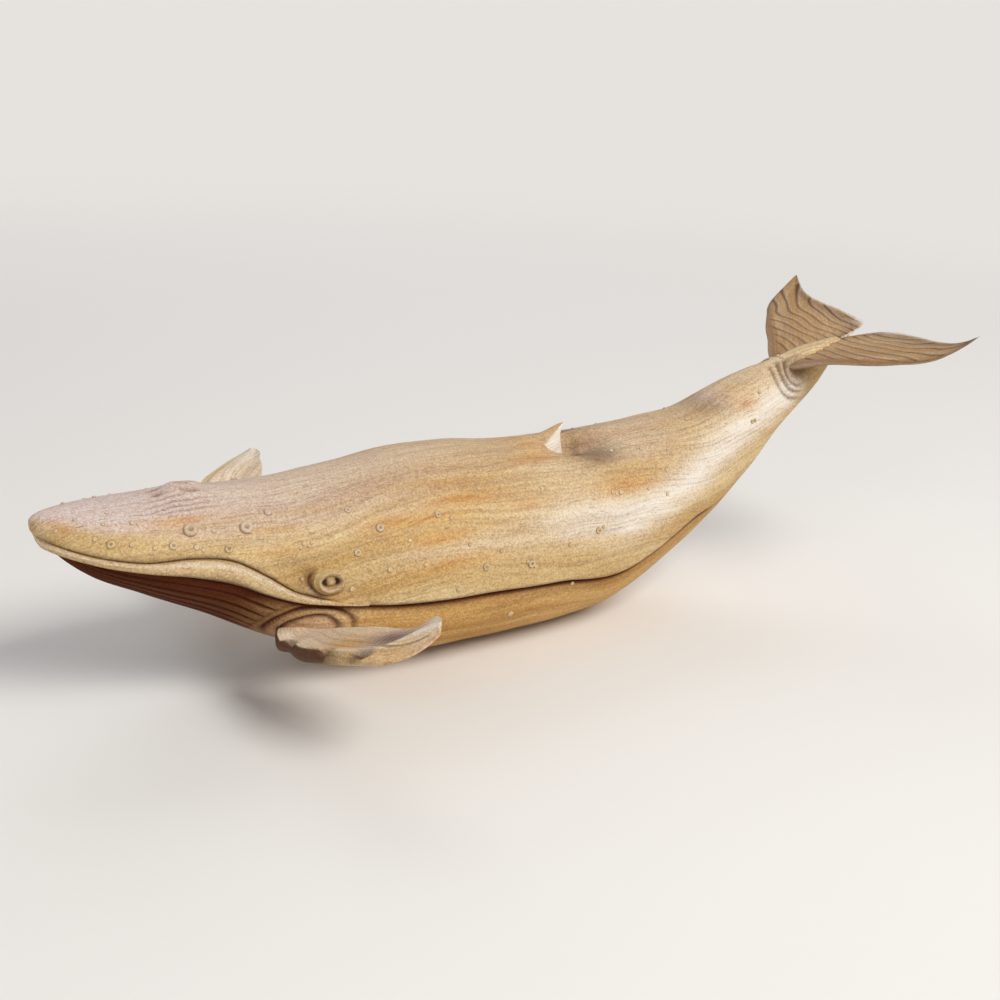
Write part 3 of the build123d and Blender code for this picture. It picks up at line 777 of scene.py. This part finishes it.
def lip_shell():
    """A strip below the mouth that stands proud and dies away behind the eye."""
    lip_end = lip_shares[-1][0] * body_length
    x = ring_places(lip_start, lip_end - 0.3, lip_mesh_size[0], 0.3)
    upper, lower = turn_at(x, level(mouth_shares, x)), turn_at(x, level(lip_shares, x))
    share = np.linspace(0, 1, lip_mesh_size[1])
    points, run = arc_rows(x, upper, np.maximum(lower, upper + 0.002), share)
    normal = normals(points)
    before_end = step(lip_end - x, *lip_end_fade)[:, None]

    # Under the snout the two halves meet, so there is no lower edge to round off
    parted = np.where(share < 0.5, 1, step(lower, pi, pi - 0.3)[:, None])
    crown = 1 - lip_roll * parted * np.abs(2 * share - 1) ** 5
    proud = lip_proud * np.clip(run[:, -1:] / 4, 0.1, 1) * (0.1 + 0.9 * before_end)
    height = proud * crown + uneven(points, *lip_waver)
    # Painted shade along both edges and over the lower half, faint painted cool light, and a painted
    # highlight along the upper crown that fades out at the end
    shade = 0.85 * parted * bump(1 - share, 0.16) + 0.5 * bump(share, 0.05) * before_end
    masks = skin_masks(points, normal, shade + 0.25 * step(share, 0.45, 1.0))
    masks["painted_cool_light"] = np.full_like(run, 0.06)
    masks["painted_sheen"] = 0.34 * bump(share[None, :] - 0.26, 0.14) * before_end
    moved = points + normal * height[..., None]
    moved[..., 0] = np.maximum(moved[..., 0], snout_front)
    return Shell(moved, np.stack([points[..., 0], -run], -1), **masks).joined(lip_ring)


def belly_shell():
    """The pleats keep to shares of the way down from the lip, so they draw together at the chin."""
    lip_end = lip_shares[-1][0] * body_length
    x = ring_places(belly_start, belly_end_share * body_length, belly_mesh_size[0], 0.35)
    edge_height = np.where(x < lip_end, level(lip_shares, x), level(seam_shares, x))
    edge_turn = np.minimum(turn_at(x, edge_height), pi - 0.03)
    share = np.linspace(0, 1, belly_mesh_size[1])
    points, run = arc_rows(x, edge_turn, np.full_like(x, pi), share)
    normal = normals(points)
    X, _, Z = np.moveaxis(points, -1, 0)
    width = run[:, -1:]
    down = run / width
    around = np.hypot((X - flipper_root[0]) / 1.6, Z - flipper_root[1]) + uneven(points, *flipper_fold_waver)

    # Pleats, which reach further back the lower they are and stop before the root of the flipper
    bend = pleat_bend_share * step(X, 45, 80) * np.sin(pi * down)
    phase = (down - bend) * pleat_count + uneven(points, *pleat_waver)
    off_groove = np.abs(phase - np.round(phase)) * width / pleat_count
    last = pleat_end + pleat_end_lag * down
    deep = step(X, *pleats_begin) * (1 - step(X, last, last + pleat_end_fade)) * (phase > 0.4)
    groove = bump(off_groove, pleat_width) * deep * (1 - step(around, 11, 8.5) * step(X, 46, 52))
    height = -belly_step * np.clip(width / 4, 0, 1) - rounded(run, np.minimum(0.6, width * 0.4))
    height = height - pleat_depth * groove + uneven(points, *belly_waver) * step(run, 0, 3)

    # Folds over the root of each flipper
    near_root = step(Z, flipper_root[1] - 5, flipper_root[1] + 1) * step(around, 11, 8)
    faint = 0.5 * creases(around, faint_fold_radii, faint_fold_width) * step(X, 70, 62)
    fold = np.clip((creases(around, flipper_fold_radii, fold_width) + faint) * near_root, 0, 1)
    height = height + flipper_root_proud * bump(around, 8.0) * step(run, 0, 5) - flipper_fold_depth * fold

    # Painted shade over the throat and the lower belly, and just under the lip and the seam
    throat = (1 - step(X, *throat_fades)) * (1 - 0.75 * bump(around, 8))
    shade = pleat_shade * groove + throat_shade * throat + 0.30 * step(down, 0.35, 0.9) * step(X, 230, 90)
    shade = np.maximum(shade, seam_shade * bump(run, 1.6))
    masks = skin_masks(points, normal, shade + flipper_fold_shade * fold + 0.2 * bump(run, 3.5))
    # Painted cool light on the swelling round each flipper's root
    masks["painted_cool_light"] = np.maximum(masks["painted_cool_light"], 0.30 * bump(around, 7.5))
    left = points + normal * height[..., None]
    left[..., 2] = np.maximum(left[..., 2], 0)
    left[:, -1, 1] = 0
    return Shell(left, np.stack([X, -run], -1), **masks).joined(belly_ring)


# Blades
def blade(edges, side, thick, upper_profile, lower_profile, rows, columns):
    """A blade between its two edges, from the height above and below its middle surface in shares of the
    thickness. Also gives how far along and across it each point is, and whether it is on top."""
    line = curve([(row, *edge) for row, edge in enumerate(edges)], np.linspace(0, len(edges) - 1, rows))
    lead, trail = line[:, :3] * (1, side, 1), line[:, 3:] * (1, side, 1)
    run = np.concatenate([[0], np.cumsum(np.linalg.norm(np.diff((lead + trail) / 2, axis=0), axis=1))])
    across = (1 - np.cos(np.linspace(0, pi, columns))) / 2
    mean = lead[:, None] + (trail - lead)[:, None] * across[None, :, None]
    normal = normals(mean)
    normal *= np.sign(normal[..., 2].mean() or 1)
    chord = np.linalg.norm(trail - lead, axis=1)[:, None]
    reach = run[:, None] / run[-1] + 0 * across[None, :]
    thickness = curve(thick, reach[:, 0])
    upper = mean + normal * (thickness * upper_profile(across, reach, mean))[..., None]
    lower = mean - normal * (thickness * lower_profile(across, reach, mean))[..., None]
    along = np.broadcast_to(run[:, None], reach.shape)

    def wrap(first, second):
        return np.concatenate([first, second[:, -2:0:-1]], axis=1)

    grain = np.stack([along, across[None, :] * chord], -1)
    places = np.broadcast_to(across[None, :], reach.shape)
    return (wrap(upper, lower), wrap(grain, grain), wrap(places, places), wrap(reach, reach),
            wrap(np.ones_like(reach), np.zeros_like(reach)))


def flipper(side, name):
    """A paddle with a thick, scalloped leading edge, hollowed behind it and curled at the tip. The right one
    is plainer: it has no stains, no painted shade on its front face or in its hollow, fainter painted shade
    at its scallops, no rings, no crack and no highlight along its crest, and its tip is a little taller."""
    def crest_at(reach):
        return 0.10 + 0.42 * step(reach, 0.72, 0.92)

    def scoops(mean):
        return sum(bump(np.abs(mean[..., 1]) - reach, 1.5) for reach in scallop_reach)

    def upper(across, reach, mean):
        crest = np.sqrt(np.clip(across / crest_at(reach), 0, 1))
        crest = crest * (1 - 0.85 * step(across, crest_at(reach), crest_at(reach) + 0.32))
        crest = crest * step(np.abs(mean[..., 1]), 22, 35)
        return crest * (0.50 - 0.45 * scoops(mean) * bump(across - 0.09, 0.07)) + 0.1 * np.sqrt(1 - across)

    def lower(across, reach, mean):
        return 0.34 * np.sqrt(np.clip(across / 0.2, 0, 1)) * (1 - across) ** 0.6

    near_side = 1.0 if side > 0 else 0.0
    edges = flipper_edges if side > 0 else flipper_edges[:-1] + right_tip
    points, grain, across, reach, top = blade(edges, side, flipper_thick, upper, lower, *flipper_mesh_size)
    X, Y, _ = np.moveaxis(points, -1, 0)
    # Only the near flipper gets the stains, the rings, the crack and most of the painted shade and
    # highlights
    near_top = top * near_side
    # Painted shade in the hollow behind the crest, in its rings and crack, at the scallops' corners and on
    # the front face; painted cool light on the top and in the hollow; painted highlights on the tip and the
    # crest
    hollow = bell(reach, across, *flipper_hollow_shares) * near_top
    rings = bump(np.sin(np.hypot(X - 87, np.abs(Y) - 70) * 2.0), 0.4) * hollow
    crack = bump(across - 0.27, 0.018) * step(reach, 0.74, 0.8) * step(reach, 1, 0.95) * near_top
    front = np.maximum(step(across, crest_at(reach), 0.75 * crest_at(reach)), 1 - top)
    notch = sum(bump(np.abs(Y) - place + 1.0, 2.0) for place in scallop_reach)
    notch = notch * bump(across - 0.09, 0.11) * top * (1.0 if side > 0 else 0.4)
    amber = np.maximum(0.75 * bell(reach, across, *flipper_stain_shares) * near_top,
                       0.5 * near_side * front * step(reach, 0.4, 0.7))
    shade = near_side * front * (0.12 + 0.81 * step(reach, 0.78, 0.46)) + 0.8 * notch
    shade = np.clip(np.maximum(shade, 0.70 * hollow + 0.40 * rings + 0.9 * crack), 0, 0.93)
    painted_cool_light = np.clip(0.40 * top * (1 - front) * (1 - amber) + 0.5 * hollow, 0, 0.9)
    crest_line = 0.25 * bump(across - 0.13, 0.02) * near_top * step(reach, 0.7, 0.5)
    painted_sheen = (0.5 * step(reach, 0.84, 0.98) + crest_line) * (1 - np.clip(notch, 0, 1))
    shell = Shell(points, grain, amber=amber, painted_cool_light=painted_cool_light, shade=shade, painted_sheen=painted_sheen)
    add_shell(f"carved_{name}", shell, flipper_wood, "carved_flipper", name)


def fluke(side, name):
    """A blade with a thick rounded leading edge, let into the tail stock, with its growth rings cut in."""
    def leaf(across, reach, mean):
        return 1.1 * np.sqrt(across) * (1 - across) ** 0.9 + 0.05 * (across * (1 - across)) ** 0.25

    def upper(across, reach, mean):
        return 0.9 * leaf(across, reach, mean) - 0.35 * step(reach, 0.12, 0.35) * across * (1 - across) * 2

    points, grain, across, reach, top = blade(fluke_edges, side, fluke_thick, upper, leaf, *fluke_mesh_size)
    X, Y, _ = np.moveaxis(points, -1, 0)
    out = np.abs(Y)
    from_middle = np.hypot(X - fluke_ring_middle[0], (out - fluke_ring_middle[1]) / 2.2)
    ring_turn = 0.8 * from_middle + uneven(points, *ring_waver)
    rings = bump(np.sin(ring_turn), 0.36) * step(across, 0.05, 0.14) * step(across, 0.99, 0.93)
    points[..., 2] -= fluke_ring_depth * rings * np.where(top > 0, 1, -1)
    # Painted highlights beside the rings, along both edges and on the inner corner; painted shade in the
    # rings, at the foot, inside both rims and towards the tip
    lit_rings = 0.30 * bump(np.sin(ring_turn + 0.6), 0.36) * step(across, 0.05, 0.2)
    edge = 0.4 * bump(across, 0.02) + bump(across - 1, 0.035) + lit_rings
    foot = 0.5 * bump(reach, 0.10) * step(across, 0.5, 0.1)
    rims = 0.45 * bump(across - 0.05, 0.08) + 0.3 * bump(across - 0.88, 0.08)
    shade = fluke_ring_shade * rings + foot + rims + 0.22 * step(reach, 0.55, 1)
    painted_sheen = 0.7 * edge + 0.9 * bell(X, out, *fluke_corner_oval)
    # The amber by the leading edge is part of its painted shade; the mauve tint on the top is painted cool
    # light
    amber = 0.3 * bump(across - 0.5, 0.3) + 0.3 * bump(across - 0.08, 0.1)
    shell = Shell(points, grain, amber=amber, painted_cool_light=0.15 * top, shade=np.clip(shade, 0, 0.85),
                  painted_sheen=np.clip(painted_sheen, 0, 0.9))
    add_shell(f"carved_{name}", shell, fluke_wood, "carved_fluke", name)


def dorsal_fin():
    """A small hooked fin, broad at its foot, with a painted highlight over its rear half, and a stained
    front slope under painted cool light and a little painted shade.
    """
    def leaf(across, reach, mean):
        return across ** 0.8 * (1 - across) ** 0.22

    points, grain, across, _, _ = blade(fin_edges, 1, fin_thick, leaf, leaf, *fin_mesh_size)
    front = step(across, 0.56, 0.38)
    knot = bell(points[..., 0], points[..., 2], *fin_knot_oval)
    shell = Shell(points, grain, amber=0.6 * front, painted_cool_light=0.3 * front,
                  shade=np.clip(0.7 * knot + 0.15 * front, 0, 1), painted_sheen=0.85 * step(across, 0.42, 0.60))
    add_shell("carved_dorsal_fin", shell, fin_wood, "carved_fin", "dorsal_fin")


back_mesh = add_shell("carved_back", back_shell(), back_wood, "carved_back", "back")
add_shell("carved_lip", lip_shell(), lip_wood, "carved_lip", "lower_jaw")
belly_mesh = add_shell("carved_belly", belly_shell(), belly_wood, "carved_belly", "belly")
for side, hand in ((1, "left"), (-1, "right")):
    flipper(side, f"{hand}_flipper")
    fluke(side, f"{hand}_fluke")
dorsal_fin()

# What is set into the skin
skins = [BVHTree.FromPolygons([vert.co for vert in mesh.vertices], [face.vertices for face in mesh.polygons])
         for mesh in (back_mesh, belly_mesh)]


def skin_at(place, turn_share, side):
    """The point and the outward direction of the skin, at a turn round the body from straight up."""
    x = np.array([place * body_length])
    top, _, bottom, _ = section(x)
    middle = Vector((x[0] - rest_from_nose, 0, (top[0] + bottom[0]) / 2)) * MM
    outward = Vector((0, -side * np.sin(turn_share * pi), np.cos(turn_share * pi)))
    far = middle + outward * body_width * MM
    hits = [hit for hit in (skin.ray_cast(far, -outward) for skin in skins) if hit[0]]
    point, normal, _, _ = min(hits, key=lambda hit: hit[3])
    return point, normal if normal.dot(outward) > 0 else -normal


def barnacle_tree():
    """Sets a small plug or bump at each point: a dome with a crater, scaled by the point's own width. The
    crater gets painted shade, and the joint round its foot is dark, partly as a joint and partly as painted
    shade.
    """
    tree = bpy.data.node_groups.new("set_in_barnacles", "GeometryNodeTree")
    tree.interface.new_socket("Geometry", in_out="INPUT", socket_type="NodeSocketGeometry")
    for name in ("Proud share", "Crater share", "Crater width share"):
        tree.interface.new_socket(name, in_out="INPUT", socket_type="NodeSocketFloat")
    tree.interface.new_socket("Wood", in_out="INPUT", socket_type="NodeSocketMaterial")
    tree.interface.new_socket("Geometry", in_out="OUTPUT", socket_type="NodeSocketGeometry")
    given = node(tree, "NodeGroupInput").outputs
    sphere = node(tree, "GeometryNodeMeshUVSphere", Segments=plug_corners, Rings=plug_rings, Radius=1.0)
    place = node(tree, "GeometryNodeInputPosition")
    parts = node(tree, "ShaderNodeSeparateXYZ", Vector=place).outputs
    flat = node(tree, "ShaderNodeCombineXYZ", X=parts["X"], Y=parts["Y"])
    from_axis = node(tree, "ShaderNodeVectorMath", {"operation": "LENGTH"}, i0=flat).outputs["Value"]
    dent = node(tree, "ShaderNodeMapRange", {"interpolation_type": "SMOOTHSTEP"}, Value=from_axis,
                From_Max=given["Crater width share"], To_Min=given["Crater share"], To_Max=0.0)
    dented = maths(tree, "SUBTRACT", maths(tree, "MULTIPLY", parts["Z"], given["Proud share"]), dent)
    moved = node(tree, "ShaderNodeCombineXYZ", X=parts["X"], Y=parts["Y"], Z=dented)
    joint_line = node(tree, "ShaderNodeMapRange", Value=from_axis, From_Min=plug_joint_from, From_Max=1.0,
                      To_Max=plug_joint_shade)
    in_crater = node(tree, "ShaderNodeMapRange", Value=from_axis, From_Max=given["Crater width share"],
                     To_Min=given["Crater share"], To_Max=0.0)
    dark = maths(tree, "ADD", joint_line, in_crater)
    shaped = node(tree, "GeometryNodeSetPosition", Geometry=sphere.outputs["Mesh"], Position=moved)
    plug = node(tree, "GeometryNodeStoreNamedAttribute", {"data_type": "FLOAT", "domain": "POINT"},
                Geometry=shaped, Name="shade", Value=dark)
    outward = node(tree, "GeometryNodeInputNamedAttribute", {"data_type": "FLOAT_VECTOR"}, Name="outward")
    radius = node(tree, "GeometryNodeInputNamedAttribute", {"data_type": "FLOAT"}, Name="radius")
    turned = node(tree, "FunctionNodeAlignRotationToVector", {"axis": "Z"}, Vector=outward)
    placed = node(tree, "GeometryNodeInstanceOnPoints", Points=given["Geometry"], Instance=plug,
                  Rotation=turned, Scale=radius)
    real = node(tree, "GeometryNodeRealizeInstances", Geometry=placed)
    mapped = node(tree, "GeometryNodeStoreNamedAttribute", {"data_type": "FLOAT2", "domain": "CORNER"},
                  Geometry=real, Name="grain", Value=node(tree, "GeometryNodeInputPosition"))
    smooth = node(tree, "GeometryNodeSetShadeSmooth", Geometry=mapped)
    finished = node(tree, "GeometryNodeSetMaterial", Geometry=smooth, Material=given["Wood"])
    node(tree, "NodeGroupOutput", Geometry=finished)
    return tree


def set_in(name, tree, places, sides, wood, slot, crater, *nodes):
    """One mesh of all the barnacles of a group."""
    found = [(*skin_at(place, turn_share, side), width / 2 * MM)
             for side in sides for place, turn_share, width in places]
    mesh = bpy.data.meshes.new(name)
    mesh.from_pydata([point for point, _, _ in found], [], [])
    outward = mesh.attributes.new("outward", "FLOAT_VECTOR", "POINT")
    outward.data.foreach_set("vector", [value for _, normal, _ in found for value in normal])
    radius = mesh.attributes.new("radius", "FLOAT", "POINT")
    radius.data.foreach_set("value", [size for _, _, size in found])
    # Painted cool light on the barnacles that face up
    painted_cool_light = mesh.attributes.new("painted_cool_light", "FLOAT", "POINT")
    painted_cool_light.data.foreach_set("value", [0.45 * float(step(normal.z, 0.4, 0.95)) for _, normal, _ in found])
    points = add_object(f"{name}_points", mesh)
    grower = points.modifiers.new("barnacles", "NODES")
    grower.node_group = tree
    given = dict(zip(("Proud share", "Crater share", "Crater width share"), crater), Wood=wood)
    for socket in tree.interface.items_tree:
        if socket.name in given:
            grower[socket.identifier] = given[socket.name]
    grown = bpy.data.meshes.new_from_object(points.evaluated_get(bpy.context.evaluated_depsgraph_get()))
    grown.name = name
    points.modifiers.remove(grower)
    bpy.data.objects.remove(points)
    add_piece(name, grown, wood, slot, *nodes)


plug_tree = barnacle_tree()
set_in("turned_rostrum_tubercles", plug_tree, rostrum_places, (1, -1), plug_wood, "barnacle_plug",
       rostrum_crater, "rostrum_tubercles")
set_in("carved_skin_bumps", plug_tree, bump_places, (1, -1), plug_wood, "carved_back", bump_crater)
for side, hand in ((1, "left"), (-1, "right")):
    set_in(f"turned_{hand}_flank_barnacles", plug_tree, flank_places, (side,), plug_wood, "barnacle_plug",
           flank_crater, f"{hand}_flank_barnacles")


def eye(side, hand):
    """An almond bead in a raised lid, with a pit at each corner and small knobs on the lid's rim."""
    point, outward = skin_at(*eye_place, side)
    backwards = Vector((1, 0, 0))
    backwards = (backwards - outward * backwards.dot(outward)).normalized()
    upwards = Vector((-lid_lean, 0, 1))
    upwards = (upwards - outward * upwards.dot(outward) - backwards * upwards.dot(backwards)).normalized()
    middle = np.array(point) / MM + (rest_from_nose, 0, 0)
    axes = np.array([backwards, upwards, outward])
    turn = np.linspace(0, 2 * pi, eye_corners, endpoint=False)[None, :]

    def placed(along, up, out):
        return middle + np.stack([along, up, out], -1) @ axes

    over_lid = np.linspace(bead_share * 0.9, 1.08, lid_rings)
    rim_share = np.concatenate([over_lid, [1.0, 0.7, bead_share]])[:, None]
    along, up = lid_half_width * rim_share * np.cos(turn), lid_half_height * rim_share * np.sin(turn)
    crest = bump(rim_share - lid_crest_share, 0.16)
    out = lid_proud * (1 + 0.14 * np.cos(3 * turn + 0.6)) * crest - lid_sunk
    out = out - 0.4 * bump(rim_share - 0.42, 0.12)
    for knob_along, knob_up, size in lid_knobs:
        out = out + 1.1 * size * bell(along, up, knob_along, knob_up, size, size)
    pit = sum(bell(along, up, corner, 0, *pit_half_size) for corner in (-pit_from_middle, pit_from_middle))
    inner = np.maximum(out + 1.1 * step(rim_share, 0.75, 0.52) - 0.9 * pit, 0.1)
    out = np.where(rim_share < 0.9, inner, out)
    out[-3:] = np.array([-1.3, -1.6, -1.3])[:, None]
    # Painted shade in the pits and round the bead, strongest at the corners, and a painted highlight on the
    # lid's crest
    corners = 0.35 + 0.65 * np.cos(turn) ** 2
    shade = np.clip(1.05 * pit + 0.9 * corners * bump(rim_share - 0.42, 0.11), 0, 0.97)
    lid = Shell(placed(along, up, out), np.stack([along, up], -1), shade=shade,
                painted_sheen=0.25 * bump(rim_share - 0.68, 0.12) + 0 * turn)
    add_shell(f"carved_{hand}_eyelid", lid, lid_wood, "carved_eyelid", f"{hand}_eyelid", looped=True)

    bead_rim, bead_out = np.array(bead_rings).T[..., None]
    along = lid_half_width * bead_share * bead_rim * np.cos(turn)
    up = lid_half_height * bead_share * 1.05 * bead_rim * np.sin(turn)
    # The bead gets painted shade round its rim and a painted highlight in its middle
    bead = Shell(placed(along, up, bead_out + 0 * turn), np.stack([along, up], -1),
                 shade=0.75 * step(bead_rim, 0.75, 0.95) + 0 * turn,
                 painted_sheen=0.3 * bump(bead_rim, 0.4) + 0 * turn)
    add_shell(f"turned_{hand}_eye", bead, eye_wood, "turned_eye", f"{hand}_eye")


for side, hand in ((1, "left"), (-1, "right")):
    eye(side, hand)
for name in ("dorsal_fin_dowel", "belly_dowels", "jaw_dowels", "fluke_dowels", "left_flipper_dowel",
             "right_flipper_dowel"):
    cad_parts[name].data.materials.clear()
    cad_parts[name].data.materials.append(peg_wood)


# Stage and lights, with lengths in metres. Each lamp has a place, a size, a power in watts and a colour.
lamps = {
    "window": ((0.40, -0.80, 1.05), 0.6, 12.5, "#FFFCF7"),
    "fill": ((-0.9, -0.7, 0.6), 0.8, 3, "#FFFFFF"),
    "rim": ((0.3, 1.0, 0.9), 0.8, 4, "#F4F6FF"),
}
paper_colour = "#F0EEEB"
paper_roughness = 0.95
paper_polish = 0.1
backdrop_colour = "#E6E3DE"
room_colour = "#F2F1EF"
floor_half_size = 12.0
floor_fade = (0.25, 0.9)
lit_point = (0, 0, 0.03)
room_level = 0.33


def paper_floor():
    """Matte paper that fades into the backdrop, so that the far floor has no edge and no falloff."""
    material, tree, shader = start_material("matte_paper_floor")
    shader.inputs["Base Color"].default_value = linear(paper_colour)
    shader.inputs["Roughness"].default_value = paper_roughness
    shader.inputs["Specular IOR Level"].default_value = paper_polish
    place = node(tree, "ShaderNodeTexCoord").outputs["Object"]
    distance = node(tree, "ShaderNodeVectorMath", {"operation": "LENGTH"}, i0=place).outputs["Value"]
    far = node(tree, "ShaderNodeMapRange", {"interpolation_type": "SMOOTHSTEP"}, Value=distance,
               From_Min=floor_fade[0], From_Max=floor_fade[1])
    seen = node(tree, "ShaderNodeLightPath").outputs["Is Camera Ray"]
    share = maths(tree, "MULTIPLY", far, seen)
    glow = node(tree, "ShaderNodeEmission", Color=linear(backdrop_colour), Strength=1.0)
    blended = node(tree, "ShaderNodeMixShader", i0=share, i1=shader.outputs[0], i2=glow)
    tree.links.new(blended.outputs[0], tree.nodes["Material Output"].inputs["Surface"])
    return material


def add_floor():
    corners = [(across * floor_half_size, along * floor_half_size, 0)
               for across, along in ((-1, -1), (1, -1), (1, 1), (-1, 1))]
    mesh = bpy.data.meshes.new("floor")
    mesh.from_pydata(corners, [], [(0, 1, 2, 3)])
    mesh.materials.append(paper_floor())
    floor = add_object("floor", mesh)


def add_light(name, place, size, watts, hex_colour):
    lamp = bpy.data.lights.new(name, "AREA")
    lamp.size = size
    lamp.energy = watts
    lamp.color = linear(hex_colour)[:3]
    light = add_object(name, lamp)
    light.location = place
    light.rotation_euler = (Vector(lit_point) - Vector(place)).to_track_quat("-Z", "Y").to_euler()


def add_world():
    """A soft grey room that the camera sees as the backdrop."""
    world = bpy.data.worlds.new("studio")
    bpy.context.scene.world = world
    world.use_nodes = True
    tree = world.node_tree
    seen = node(tree, "ShaderNodeLightPath").outputs["Is Camera Ray"]
    dim = tuple(room_level * channel for channel in linear(room_colour))
    room = mixed(tree, seen, dim, linear(backdrop_colour))
    tree.links.new(room.outputs[2], tree.nodes["Background"].inputs["Color"])


# The camera that fits the photograph: its place in mm from the middle of the flat, its turns and its lens
camera_place = (-207.4, -342.8, 204.2)
camera_heading = 32.11
camera_tilt = 21.85
camera_roll = 4.18
lens_mm = 50
sensor_mm = 36


def add_camera():
    camera = bpy.data.cameras.new("camera")
    camera.lens = lens_mm
    camera.sensor_width = sensor_mm
    viewer = add_object("camera", camera)
    heading = Matrix.Rotation(radians(-camera_heading), 4, "Z")
    tilt = Matrix.Rotation(radians(90 - camera_tilt), 4, "X")
    roll = Matrix.Rotation(radians(camera_roll), 4, "Z")
    viewer.matrix_world = Matrix.Translation(Vector(camera_place) * MM) @ heading @ tilt @ roll
    bpy.context.scene.camera = viewer


add_floor()
add_world()
for name, lamp in lamps.items():
    add_light(name, *lamp)
add_camera()
bpy.context.scene.view_settings.view_transform = "Standard"
